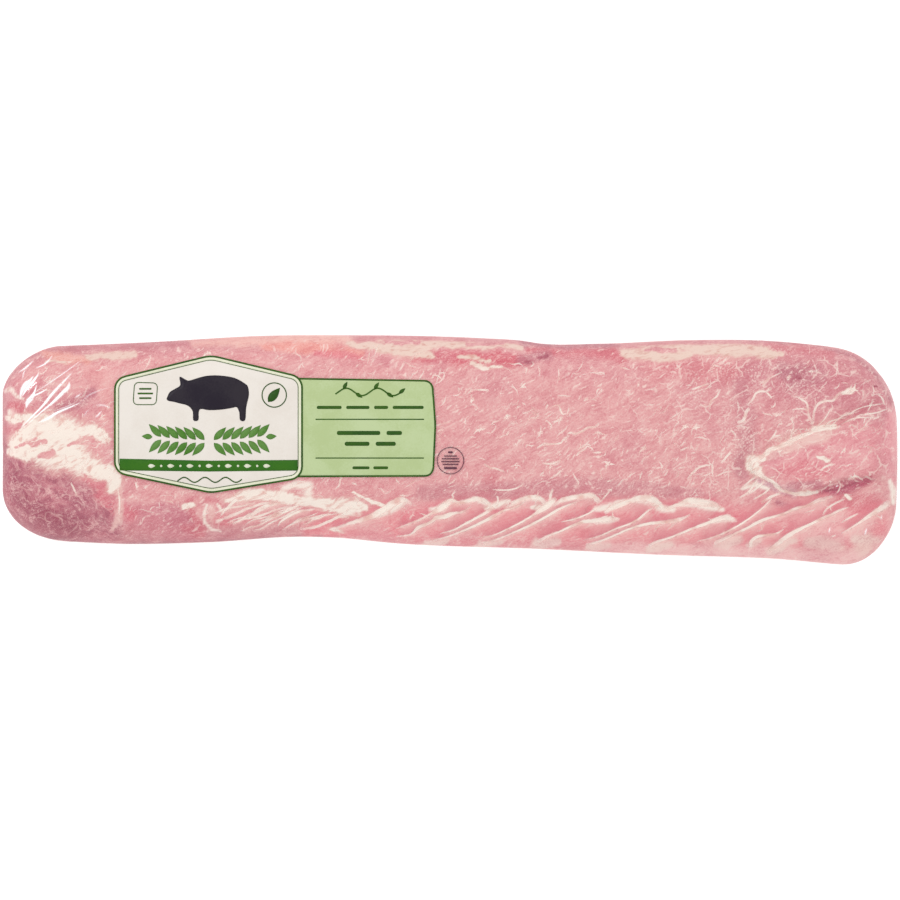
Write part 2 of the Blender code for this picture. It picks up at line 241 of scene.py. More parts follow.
def beside(x, y, start, end):
    """Share of the way along a straight piece that is nearest to each point, and the offset from it."""
    run, climb = end[0] - start[0], end[1] - start[1]
    t = np.clip(((x - start[0]) * run + (y - start[1]) * climb) / (run**2 + climb**2), 0.0, 1.0)
    return t, x - start[0] - t * run, y - start[1] - t * climb


def nearest_on(x, y, path):
    """Nearest place on a path of (x, y, half-width) points.

    Gives the distance, above zero on the right of the path, the half-width there, and the distance
    along the path to its closer end.
    """
    away = np.full(np.shape(x), np.inf)
    side, width, along = (np.zeros(np.shape(x)) for _ in range(3))
    total = 0.0
    for start, end in zip(path, path[1:]):
        t, dx, dy = beside(x, y, start, end)
        run, climb, widening = np.subtract(end, start)
        here = np.hypot(dx, dy)
        closer = here < away
        away = np.where(closer, here, away)
        side = np.where(closer, np.where(climb * dx > run * dy, here, -here), side)
        width = np.where(closer, start[2] + widening * t, width)
        along = np.where(closer, total + t * math.hypot(run, climb), along)
        total += math.hypot(run, climb)
    return side, width, np.minimum(along, total - along)


def around(x, y, path, reach):
    """Numbers of the points within reach of the box round a path."""
    low = np.min(path, axis=0)[:2] - reach
    high = np.max(path, axis=0)[:2] + reach
    return np.flatnonzero((x > low[0]) & (x < high[0]) & (y > low[1]) & (y < high[1]))


def near_end(x, first, last):
    """0 further than first from both ends of the loin, 1 nearer than last to one of them."""
    return ramp(np.abs(x), HALF_LENGTH - first, HALF_LENGTH - last)


def corner_cut(x, end, side):
    """How far a corner's rounding takes the long edge in, at each x."""
    reach, depth, fullness = CORNERS[(end, side)]
    from_end = x + HALF_LENGTH if end == "left" else HALF_LENGTH - x
    t = np.clip((reach - from_end) / reach, 0.0, 1.0)
    return depth * (1.0 - (1.0 - t**fullness) ** (1.0 / fullness))


def long_edges(x):
    """Plan of the rib edge and of the chine edge, corners rounded."""
    rib = through(RIB_EDGE, x) + corner_cut(x, "left", "rib") + corner_cut(x, "right", "rib")
    chine = through(CHINE_EDGE, x) - corner_cut(x, "left", "chine") - corner_cut(x, "right", "chine")
    return rib, chine


def bow_right_end(x, y):
    """Moves the right end outwards at its middle, so that it isn't a straight cut."""
    from_middle = np.clip(np.abs(y - END_BULGE_MIDDLE_Y) / END_BULGE_HALF_SPAN, 0.0, 1.0)
    return x - END_BULGE * from_middle**2 * ramp(x, HALF_LENGTH - END_BULGE_REACH, HALF_LENGTH)


def distance_inside(x, y):
    """Distance from each plan point to the loin's outline."""
    along = -np.cos(np.linspace(0.0, np.pi, OUTLINE_STOPS)) * HALF_LENGTH
    rib, chine = long_edges(along)
    corners = np.concatenate([np.stack([along, rib], 1), np.stack([along, chine], 1)[::-1]])
    nearest = np.full(np.shape(x), np.inf)
    for start, end in zip(corners, np.roll(corners, -1, axis=0)):
        _, dx, dy = beside(x, y, start, end)
        nearest = np.minimum(nearest, dx**2 + dy**2)
    return np.sqrt(nearest)


def rounding(t):
    """Quarter of a full ellipse: 0 at t 0, 1 from t 1 on."""
    t = np.clip(t, 0.0, 1.0)
    return (1.0 - (1.0 - t) ** ROUNDING_FULLNESS) ** (1.0 / ROUNDING_FULLNESS)


# Form of the lean face


def finger_band(x, y):
    """1 in the band of fingers, 0 on the lean face."""
    in_band = 1.0 - ramp(y - through(FINGER_BAND, x), -BAND_FADE, 0.0)
    return in_band * ramp(x, FINGER_BAND[0][0], FINGER_BAND[1][0])


def finger_lift(x, y):
    """How high the fingers stand, 0 to 1: most just inside their edge, then falling to the next one."""
    flat_x, flat_y = np.ravel(x), np.ravel(y)
    lift = np.zeros(flat_x.shape)
    for edge in FINGER_EDGES:
        at = around(flat_x, flat_y, edge, FINGER_REACH)
        side, _, from_end = nearest_on(flat_x[at], flat_y[at], smooth_path(edge))
        side = np.maximum(side, 0.0)
        rise = (1.0 - np.exp(-side / FINGER_EDGE_ROUNDING)) * np.exp(-side / FINGER_FALL)
        lift[at] = np.maximum(lift[at], rise * ramp(from_end, 0.0, FINGER_END_FADE))
    return np.reshape(lift, np.shape(x))


def tongue_inside(x, y):
    """Distance in from the tongue's edge, below zero outside it."""
    inside = np.minimum(through(TONGUE_TOP, x) - y, y - through(TONGUE_FOOT, x))
    return np.minimum(inside, (x - TONGUE_TOP[0][0]) * TONGUE_TIP_SLANT)


def tongue_rise(x):
    """Height of the tongue: half at its tip, and all of it further along."""
    return TONGUE_RISE * (0.5 + 0.5 * ramp(x, *TONGUE_TIP))


def fat_pad_relief(x, y):
    """The low mound of the pad of fat, an oval turned in plan."""
    dx, dy = x - FAT_PAD_CENTRE[0], y - FAT_PAD_CENTRE[1]
    along = dx * np.cos(FAT_PAD_TURN) + dy * np.sin(FAT_PAD_TURN)
    across = dy * np.cos(FAT_PAD_TURN) - dx * np.sin(FAT_PAD_TURN)
    reach = np.hypot(along / FAT_PAD_HALF_SIZE[0], across / FAT_PAD_HALF_SIZE[1])
    return FAT_PAD_RISE * (1.0 - ramp(reach, *FAT_PAD_EDGE))


def valley_relief(x, y):
    """The shallow valley that runs up the lean face left of the tongue."""
    (low, _), (high, _) = VALLEY[0], VALLEY[-1]
    fade = VALLEY_END_FADE
    span = ramp(y, low - fade, low + fade) * (1 - ramp(y, high - fade, high + fade))
    return -VALLEY_DEPTH * span * np.exp(-(((x - through(VALLEY, y)) / VALLEY_HALF_WIDTH) ** 2))


def meat_relief(x, y):
    """Low forms on the lean face, with the crisp edges that the meat has under the film."""
    fingers = FINGER_RISE * (finger_lift(x, y) - FINGER_MEAN) * finger_band(x, y)
    inside = tongue_inside(x, y)
    tongue = tongue_rise(x) * rounding(inside / TONGUE_EDGE)
    moat = TONGUE_MOAT * np.exp(-(((inside + TONGUE_MOAT_OUTSIDE) / TONGUE_MOAT_WIDTH) ** 2))
    return fingers + tongue - moat + fat_pad_relief(x, y) + valley_relief(x, y)


def film_relief(x, y):
    """The same forms as the film shows them, stretched over the edges and the creases."""
    fingers = FILM_OVER_FINGERS * finger_band(x, y)
    tongue = tongue_rise(x) * ramp(tongue_inside(x, y), *FILM_TONGUE_RAMP)
    return np.maximum(fingers, tongue) + fat_pad_relief(x, y) + FILM_IN_VALLEY * valley_relief(x, y)


def top_height(x, y, relief):
    """Height of the loin's upper surface over its whole plan."""
    crown = CREST_HEIGHT - CROWN_CURVATURE * (y - CREST_Y) ** 2
    crown = crown - END_FALL * (x / HALF_LENGTH) ** 4
    crown = crown + UNDULATION * rolling(x, y, UNDULATION_LENGTH, 4.0)
    narrower = (UPPER_ROUNDING - UPPER_ROUNDING_AT_ENDS) * near_end(x, *ROUNDING_NARROWS)
    reach = UPPER_ROUNDING - narrower
    rise = rounding(distance_inside(x, y) / reach)
    return FLANK_TOP + (crown + relief(x, y) - FLANK_TOP) * rise


def under_height(x, y):
    """Height of the underside, which is flat where the loin rests."""
    return BASE_EDGE_TOP * (1.0 - rounding(distance_inside(x, y) / LOWER_ROUNDING))


# Meshes


def eased(low, high, edge, step, round_step):
    """Places from low to high, closer together over the rounded edge at either end."""
    turns = round(edge * np.pi / 2 / round_step)
    quarter = edge * (1.0 - np.cos(np.linspace(0.0, np.pi / 2, turns + 1)))
    between = np.linspace(low + edge, high - edge, round((high - low - 2 * edge) / step) + 1)
    return np.concatenate([low + quarter[:-1], between, high - quarter[::-1][1:]])


def stitch(first, second, place):
    """Triangles between two rows of points that run the same way, and may differ in number."""
    i, j, faces = 0, 0, []
    while i < len(first) - 1 or j < len(second) - 1:
        step_first = j == len(second) - 1 or (
            i < len(first) - 1 and place[first[i + 1]] <= place[second[j + 1]])
        if step_first:
            faces.append((first[i], second[j], first[i + 1]))
            i += 1
        else:
            faces.append((first[i], second[j], second[j + 1]))
            j += 1
    return faces


def quads(grid):
    """Four-sided faces over a grid of point numbers, facing up when rows run along +Y."""
    corners = grid[:-1, :-1], grid[1:, :-1], grid[1:, 1:], grid[:-1, 1:]
    return np.stack([c.ravel() for c in corners], axis=1).tolist()


def spread(along, across):
    """Plan points between the two long edges: along by x, and across by share of the way over."""
    rib, chine = long_edges(along)
    x = np.repeat(along[:, None], len(across), axis=1)
    return x, rib[:, None] + (chine - rib)[:, None] * across


def loin_shell(relief, step_x, step_y, round_step, rows_below):
    """Points and faces of the closed outer form of the loin."""
    along = eased(-HALF_LENGTH, HALF_LENGTH, UPPER_ROUNDING_AT_ENDS, step_x, round_step)
    across = eased(0.0, MESH_WIDTH, MESH_EDGE, step_y, round_step) / MESH_WIDTH
    below = (1.0 - np.cos(np.linspace(0.0, np.pi, rows_below))) / 2
    x, y = spread(along, across)
    base_x, base_y = spread(along, below)
    top = np.stack([x, y, top_height(x, y, relief)], -1)
    base = np.stack([base_x, base_y, under_height(base_x, base_y)], -1)
    points = np.concatenate([top.reshape(-1, 3), base.reshape(-1, 3)])
    points[:, 0] = bow_right_end(points[:, 0], points[:, 1])
    upper = np.arange(x.size).reshape(x.shape)
    lower = x.size + np.arange(base_x.size).reshape(base_x.shape)
    faces = quads(upper) + [face[::-1] for face in quads(lower)]
    faces += quads(np.stack([lower[:, 0], upper[:, 0]], 1))
    faces += quads(np.stack([upper[:, -1], lower[:, -1]], 1))
    faces += stitch(lower[0], upper[0], points[:, 1])
    faces += stitch(upper[-1], lower[-1], points[:, 1])
    return points, faces


def add_mesh(name, points, faces, material):
    """A smooth-shaded piece from points in millimetres."""
    mesh = bpy.data.meshes.new(name)
    mesh.from_pydata(np.asarray(points) * MILLIMETRE, [], faces)
    mesh.shade_smooth()
    mesh.materials.append(material)
    obj = bpy.data.objects.new(name, mesh)
    bpy.context.scene.collection.objects.link(obj)
    return obj


def give_field(obj, name, values):
    """Stores one number at each point of a piece, for its material to read."""
    attribute = obj.data.attributes.new(name, "FLOAT", "POINT")
    attribute.data.foreach_set("value", np.asarray(values, np.float32))


def outward(points, faces):
    """The direction out of the surface at each point: the mean of its faces', by their area."""
    corners = np.array([[*face, face[-1]][:4] for face in faces])
    first, second, third, fourth = points[corners.T]
    facing = np.cross(third - first, fourth - second)
    total = np.zeros(points.shape)
    for numbers in corners.T:
        np.add.at(total, numbers, facing)
    total /= np.linalg.norm(total, axis=1)[:, None]
    reach = HALF_LENGTH - 2 * UPPER_ROUNDING
    from_middle = points - (0.0, 0.0, FLANK_TOP)
    from_middle[:, 0] -= np.clip(points[:, 0], -reach, reach)
    # Slivers at the corners' ends can turn a point's direction over. They lie low on the flanks.
    low = points[:, 2] < FLANK_TOP + 2.0
    total[low & (np.sum(total * from_middle, axis=1) < 0)] *= -1.0
    return total


# Materials


LIGHT_LEVEL = 1.15  # light that a level white surface gives back
GLOSS_VEIL = 0.03  # light that the film mirrors from overhead
WHITE = (1.0, 1.0, 1.0, 1.0)


def linear(srgb):
    """Linear colour of an sRGB colour given from 0 to 255."""
    part = np.array(srgb) / 255.0
    return np.where(part <= 0.04045, part / 12.92, ((part + 0.055) / 1.055) ** 2.4)


def seen_as(srgb):
    """Surface colour that looks like this sRGB colour through the film in the studio's light."""
    return (*np.clip((linear(srgb) - GLOSS_VEIL) / LIGHT_LEVEL, 0.0, 1.0), 1.0)


class Graph:
    """Short way to write a material's nodes. Most methods add nodes and give their output."""

    def __init__(self, name):
        self.material = bpy.data.materials.new(name)
        self.material.use_nodes = True
        self.tree = self.material.node_tree
        self.shader = self.tree.nodes["Principled BSDF"]
        self.output = self.tree.nodes["Material Output"]

    def put(self, socket, value):
        if isinstance(value, bpy.types.NodeSocket):
            self.tree.links.new(value, socket)
        else:
            socket.default_value = value

    def add(self, kind, inputs, **settings):
        node = self.tree.nodes.new(kind)
        for key, value in settings.items():
            setattr(node, key, value)
        for key, value in inputs.items():
            self.put(node.inputs[key], value)
        return node

    def attribute(self, name, output="Fac"):
        return self.add("ShaderNodeAttribute", {}, attribute_name=name).outputs[output]

    def math(self, operation, first, second=0.0, third=0.0):
        inputs = {0: first, 1: second, 2: third}
        return self.add("ShaderNodeMath", inputs, operation=operation).outputs[0]

    def times(self, first, *others):
        for other in others:
            first = self.math("MULTIPLY", first, other)
        return first

    def highest(self, first, *others):
        for other in others:
            first = self.math("MAXIMUM", first, other)
        return first

    def sum(self, first, *others):
        """Sum of (value, weight) pairs."""
        total = self.times(*first)
        for value, weight in others:
            total = self.math("MULTIPLY_ADD", value, weight, total)
        return total

    def step(self, value, low, high):
        """0 below low, 1 above high, smooth between. low may be above high."""
        inputs = {"Value": value, "From Min": low, "From Max": high}
        return self.add("ShaderNodeMapRange", inputs, interpolation_type="SMOOTHSTEP").outputs[0]

    def mix(self, share, first, second, blend="MIX"):
        node = self.add("ShaderNodeMix", {"Factor": share}, data_type="RGBA", blend_type=blend)
        self.put(node.inputs[6], first)
        self.put(node.inputs[7], second)
        return node.outputs[2]

    def paint(self, share, under, srgb):
        """A colour laid over another by a share, given as it looks in the studio's light."""
        return self.mix(share, under, seen_as(srgb))

    def shade(self, share, under, tint):
        return self.mix(share, under, tint, "MULTIPLY")

    def noise(self, place, scale, detail=2.0, roughness=0.5, output="Fac"):
        inputs = {"Vector": place, "Scale": scale, "Detail": detail, "Roughness": roughness}
        return self.add("ShaderNodeTexNoise", inputs).outputs[output]

    def cells(self, place, scale, feature):
        inputs = {"Vector": place, "Scale": scale}
        settings = {"feature": feature, "voronoi_dimensions": "2D"}
        return self.add("ShaderNodeTexVoronoi", inputs, **settings)

    def vector(self, operation, first, second=(0.0, 0.0, 0.0), scale=1.0):
        inputs = {0: first, 1: second, 3: scale}
        return self.add("ShaderNodeVectorMath", inputs, operation=operation).outputs[0]

    def millimetres(self):
        place = self.add("ShaderNodeTexCoord", {}).outputs["Object"]
        return self.vector("SCALE", place, scale=1.0 / MILLIMETRE)

    def bent(self, place, scale, amount):
        """The same places moved about by up to half of amount, in millimetres."""
        shift = self.vector("SUBTRACT", self.noise(place, scale, output="Color"), (0.5, 0.5, 0.5))
        return self.vector("ADD", place, self.vector("SCALE", shift, scale=amount))

    def turned(self, place, degrees):
        inputs = {"Vector": place, "Angle": -math.radians(degrees)}
        return self.add("ShaderNodeVectorRotate", inputs, rotation_type="Z_AXIS").outputs[0]

    def stretched(self, place, along, across):
        """The same places with one scale along the fibres and another across them."""
        return self.vector("MULTIPLY", place, (along, across, across))

    def grain(self, place, along, across, scale=1.0, detail=2.0, roughness=0.5):
        """Noise that is drawn out along the fibres."""
        return self.noise(self.stretched(place, along, across), scale, detail, roughness)

    def dashes(self, place, degrees, length, width, size, share):
        """Scattered thin tapering streaks that run in one direction, 0 to 1 each."""
        cell = self.cells(self.stretched(self.turned(place, degrees), 1.0 / length, 1.0 / width), 1.0, "F1")
        pick = self.add("ShaderNodeSeparateColor", {"Color": cell.outputs["Color"]}).outputs[0]
        streak = self.step(cell.outputs["Distance"], size, 0.3 * size)
        return self.times(streak, self.step(pick, share, 0.5 * share))

    def finish(self, colour, roughness, bump=None, distance=0.0003, strength=1.0, specular=0.5):
        self.put(self.shader.inputs["Base Color"], colour)
        self.put(self.shader.inputs["Roughness"], roughness)
        self.shader.inputs["Specular IOR Level"].default_value = specular
        if bump is not None:
            inputs = {"Height": bump, "Strength": strength, "Distance": distance}
            self.put(self.shader.inputs["Normal"], self.add("ShaderNodeBump", inputs).outputs[0])
        return self.material

    def cover(self, share, shader, tint=WHITE):
        """A share of the surface has the given shader, and light goes through the rest."""
        clear = self.add("ShaderNodeBsdfTransparent", {"Color": tint})
        mixed = self.add("ShaderNodeMixShader", {0: share, 1: clear.outputs[0], 2: shader})
        self.put(self.output.inputs["Surface"], mixed.outputs[0])
        return self.material


# Colours as they look in the studio's light
LEAN = (236, 171, 171)
LEAN_SHADE = (0.87, 0.65, 0.71, 1.0)  # darker fibres are the lean's colour times this
FIBRE_PALE = (247, 206, 199)
FINGER = (245, 146, 154)
PINK = (243, 180, 176)
FINGER_DEEP = (231, 132, 142)
# painted light inside the strips' edges
EDGE_LIGHT_PINK = (251, 217, 207)
ROSE = (224, 150, 157)
RED = (222, 126, 136)
RED_DEEP = (222, 114, 126)
MAUVE = (201, 128, 139)
MAUVE_DEEP = (176, 94, 112)
MAUVE_PALE = (233, 176, 175)
FLANK = (222, 158, 160)
ORANGE = (244, 180, 166)
PEACH = (247, 209, 199)
WARM = (246, 190, 176)
CREAM = (254, 240, 228)
LUMP = (246, 216, 206)
CREAM_SHADE = (236, 190, 179)
MARBLE = (252, 225, 215)
# dark spots of meat, and the painted shadow under the tongue
DARK_AND_SHADOW = (178, 88, 106)
RIM_SHADE = (0.84, 0.62, 0.67, 1.0)  # painted shade: the rounded edge's colours are the meat's times this
FAT_TINT_AND_SHADE = (0.888, 0.759, 0.729, 1.0)  # and the fat's along the chine edge, warmer and with painted shade on its slope, are the cream's times this

# Directions in plan, in degrees: of the muscle fibres, and of the crumpled meat's lumps and folds
FIBRE_TURN = 31.0
CRUMPLE_TURN = -42.0
FOLD_TURN = -40.0

# Marbling streaks: turn from the fibres, length and width of their cells, size, share, strength
MARBLE_STREAKS = ((0.0, 13.0, 2.6, 0.24, 0.4, 1.0), (24.0, 8.0, 2.6, 0.2, 0.35, 1.0),
                  (-9.0, 6.0, 1.9, 0.24, 0.35, 0.8))

# How strongly each layer of the meat's colour shows
ROSE_CLOUDS = 0.4
PALE_FIBRES = 0.62
# Painted shade in the crumpled meat's hollows, and painted light on its crests
HOLLOW_SHADE = 0.75
CREST_LIGHT = 0.42
FOLDS = 0.42
VEIN_NET = 0.75
FAT_NET = 0.82
# Painted shade and painted shadow outside the strips' edges, and painted light inside them
EDGE_SHADE_SHARE = 0.7
EDGE_LIGHT_SHARE = 0.85
EDGE_SHADOW_SHARE = 0.65
PALE_FAT = 0.95
FAT_HALO = 0.5


def meat_material():
    g = Graph("meat")
    mm = g.millimetres()
    wavy = g.bent(mm, 0.045, 14.0)
    fibre = g.turned(wavy, FIBRE_TURN)
    kinked = g.bent(g.bent(wavy, 0.2, 4.0), 0.7, 1.1)

    # Tone of the lean meat: fibres, blotches and fine grain over the painted ground
    strands = g.grain(fibre, 0.1, 0.9, detail=3.0, roughness=0.6)
    blotches = g.grain(fibre, 0.5, 1.0, 0.13)
    grain = g.noise(mm, 1.05, 2.0, 0.6)
    tone = g.sum((blotches, 0.3), (strands, 0.35), (grain, 0.35))
    redder = g.times(g.step(g.noise(mm, 0.028), 0.5, 0.66), ROSE_CLOUDS)
    colour = g.paint(redder, g.attribute("ground", "Color"), ROSE)
    colour = g.shade(g.step(tone, 0.525, 0.38), colour, LEAN_SHADE)
    colour = g.paint(g.times(g.step(tone, 0.5, 0.62), PALE_FIBRES), colour, FIBRE_PALE)

    # Coarse crumpled meat: painted shade in its hollows and painted light on its rounded edges
    rough = g.attribute("rough")
    crumple = g.grain(g.turned(kinked, CRUMPLE_TURN), 0.5, 1.0, 0.2, 4.0, 0.62)
    hollow_shade = g.times(g.step(crumple, 0.48, 0.4), rough, HOLLOW_SHADE)
    crest_light = g.times(g.step(crumple, 0.55, 0.64), rough, CREST_LIGHT)
    colour = g.paint(hollow_shade, colour, MAUVE_DEEP)
    colour = g.paint(crest_light, colour, MAUVE_PALE)
    fold = g.cells(g.stretched(g.turned(kinked, FOLD_TURN), 0.45, 1.0), 0.17, "DISTANCE_TO_EDGE")
    folds = g.step(fold.outputs["Distance"], 0.09, 0.02)
    folds = g.times(folds, g.step(g.noise(mm, 0.12), 0.42, 0.6), rough, FOLDS)
    colour = g.paint(folds, colour, FIBRE_PALE)

    # Marbling: short streaks of fat in the lean, a broken net of veins, and specks
    streaks = g.highest(*(g.times(g.dashes(kinked, FIBRE_TURN + turn, *form), strength)
                          for turn, *form, strength in MARBLE_STREAKS))
    streaks = g.times(streaks, g.attribute("marble"), g.step(g.noise(mm, 0.06), 0.3, 0.56))
    vein = g.cells(kinked, 0.085, "DISTANCE_TO_EDGE").outputs["Distance"]
    vein_width = g.times(g.step(g.noise(mm, 0.13), 0.46, 0.6), 0.04, g.attribute("net"))
    veins = g.times(g.step(g.math("SUBTRACT", vein_width, vein), -0.012, 0.012), VEIN_NET)
    speck = g.cells(g.bent(mm, 0.4, 1.5), 0.52, "F1").outputs["Distance"]
    speck_share = g.times(g.attribute("specks"), g.step(g.noise(mm, 0.09), 0.44, 0.62))
    fat_net = g.highest(streaks, veins, g.times(g.step(speck, 0.36, 0.16), speck_share))
    colour = g.paint(g.times(fat_net, FAT_NET), colour, MARBLE)

    # Edges of the strips: painted shade in a deeper pink and a painted shadow on their upper left, and
    # painted light inside
    colour = g.paint(g.times(g.attribute("deep"), EDGE_SHADE_SHARE), colour, FINGER_DEEP)
    blush = g.times(g.attribute("blush"), g.step(strands, 0.1, 0.5), EDGE_LIGHT_SHARE)
    colour = g.paint(blush, colour, EDGE_LIGHT_PINK)
    colour = g.paint(g.times(g.attribute("crease"), EDGE_SHADOW_SHARE), colour, MAUVE)

    # Fat, with a soft pinkish border, then the dark spots and the painted shadow under the tongue on top of
    # it
    ragged = g.grain(fibre, 0.35, 1.0, 0.55, 3.0, 0.65)
    combed = g.grain(fibre, 0.07, 0.7, detail=3.0, roughness=0.6)
    ragged = g.math("SUBTRACT", g.math("MULTIPLY_ADD", combed, 0.9, ragged), 0.95)

    def coverage(name, low, high, raggedness):
        return g.step(g.math("MULTIPLY_ADD", ragged, raggedness, g.attribute(name)), low, high)

    fat_tone = g.grain(fibre, 0.3, 1.0, 0.3, 4.0, 0.65)
    fat_colour = g.paint(g.step(fat_tone, 0.3, 0.5), seen_as(CREAM_SHADE), CREAM)
    # Fat along the chine edge: a warmer tone, with painted shade where it slopes down
    fat_colour = g.shade(g.attribute("tinted"), fat_colour, FAT_TINT_AND_SHADE)
    colour = g.mix(g.times(coverage("pale", -0.5, 0.8, 0.9), PALE_FAT), colour, fat_colour)
    colour = g.paint(g.times(coverage("fat", -0.6, 0.2, 1.2), FAT_HALO), colour, CREAM_SHADE)
    colour = g.mix(coverage("fat", -0.15, 0.4, 1.1), colour, fat_colour)
    colour = g.paint(coverage("dark", -0.2, 0.8, 1.0), colour, DARK_AND_SHADOW)
    # Painted shade on the rounded edges
    colour = g.shade(g.attribute("rim"), colour, RIM_SHADE)
    bump = g.sum((strands, 1.0), (grain, 0.35), (g.times(crumple, rough), 2.0))
    return g.finish(colour, 0.5, bump, distance=0.0005, strength=0.35, specular=0.25)


def seam_material():
    """Thin seams and threads of fat, which fade into the meat at their borders."""
    g = Graph("fat_seam")
    combed = g.grain(g.turned(g.millimetres(), FIBRE_TURN), 0.15, 0.8)
    cover = g.math("MULTIPLY_ADD", g.math("SUBTRACT", combed, 0.5), 0.6, g.attribute("cover"))
    share = g.times(g.step(cover, 0.1, 0.6), g.attribute("strength"))
    tone = g.noise(g.millimetres(), 0.1)
    colour = g.paint(g.step(tone, 0.28, 0.56), seen_as(CREAM_SHADE), CREAM)
    g.finish(g.paint(g.step(cover, 0.65, 0.15), colour, PINK), 0.5, specular=0.25)
    return g.cover(share, g.shader.outputs[0])


def film_material():
    """Clear film: it lets all light through, and mirrors the lamps the way plastic does."""
    g = Graph("film")
    gloss = g.add("ShaderNodeBsdfGlossy", {"Color": WHITE, "Roughness": 0.07})
    slant = g.add("ShaderNodeLayerWeight", {"Blend": 0.5}).outputs["Facing"]
    mirrored = g.math("MULTIPLY_ADD", g.math("POWER", slant, 5.0), 0.1, 0.04)
    g.tree.nodes.remove(g.shader)
    return g.cover(mirrored, gloss.outputs[0], (0.985, 0.985, 0.985, 1.0))


def crease_glint_material():
    """Gathered film, painted white where it is folded most: a painted highlight that stands in for the lamp's
    glints on the folds.
    """
    g = Graph("film_crease")
    broken = g.noise(g.millimetres(), 0.5, 2.0, 0.6)
    share = g.times(g.step(g.attribute("white"), 0.0, 0.7), g.step(broken, 0.2, 0.4))
    g.finish((0.97, 0.97, 0.98, 1.0), 0.25)
    return g.cover(share, g.shader.outputs[0])


def print_material(name, colour, shade):
    """Ink on the film: faintly cloudy, because the meat shows through it a little."""
    g = Graph(name)
    mm = g.millimetres()
    cloud = g.noise(g.bent(mm, 0.05, 12.0), 0.045, 3.0, 0.55)
    worn = g.noise(mm, 0.9, 2.0, 0.6)
    paint = g.paint(g.step(g.sum((cloud, 0.7), (worn, 0.3)), 0.38, 0.62), seen_as(shade), colour)
    return g.finish(paint, 0.45, g.noise(mm, 0.25), distance=0.0002, strength=0.15, specular=0.25)


def floor_material():
    """White studio floor that also glows a little, so that it looks white all over."""
    g = Graph("floor")
    g.shader.inputs["Emission Color"].default_value = WHITE
    g.shader.inputs["Emission Strength"].default_value = 0.45
    return g.finish((0.7, 0.7, 0.7, 1.0), 0.9, specular=0.0)


# Paint on the meat


def stroke(x, y, path):
    """Field of one brush stroke along (x, y, half-width) points: 1 at its middle, 0 at its edge."""
    best = np.full(np.shape(x), -1.0)
    for start, end in zip(path, path[1:]):
        t, dx, dy = beside(x, y, start, end)
        best = np.maximum(best, 1.0 - np.hypot(dx, dy) / (start[2] + (end[2] - start[2]) * t))
    return best


def painted(x, y, strokes):
    """The strongest of several strokes at each point."""
    return np.maximum.reduce([stroke(x, y, path) for path in strokes])


# Crumpled meat at the lower left, as strokes through it
CRUMPLED = (
    ((-289, -4, 7), (-276, -16, 13), (-260, -29, 18), (-244, -35, 18), (-226, -40, 12)),
    ((-276, -38, 16), (-258, -52, 15), (-236, -54, 12), (-222, -53, 9)),
)

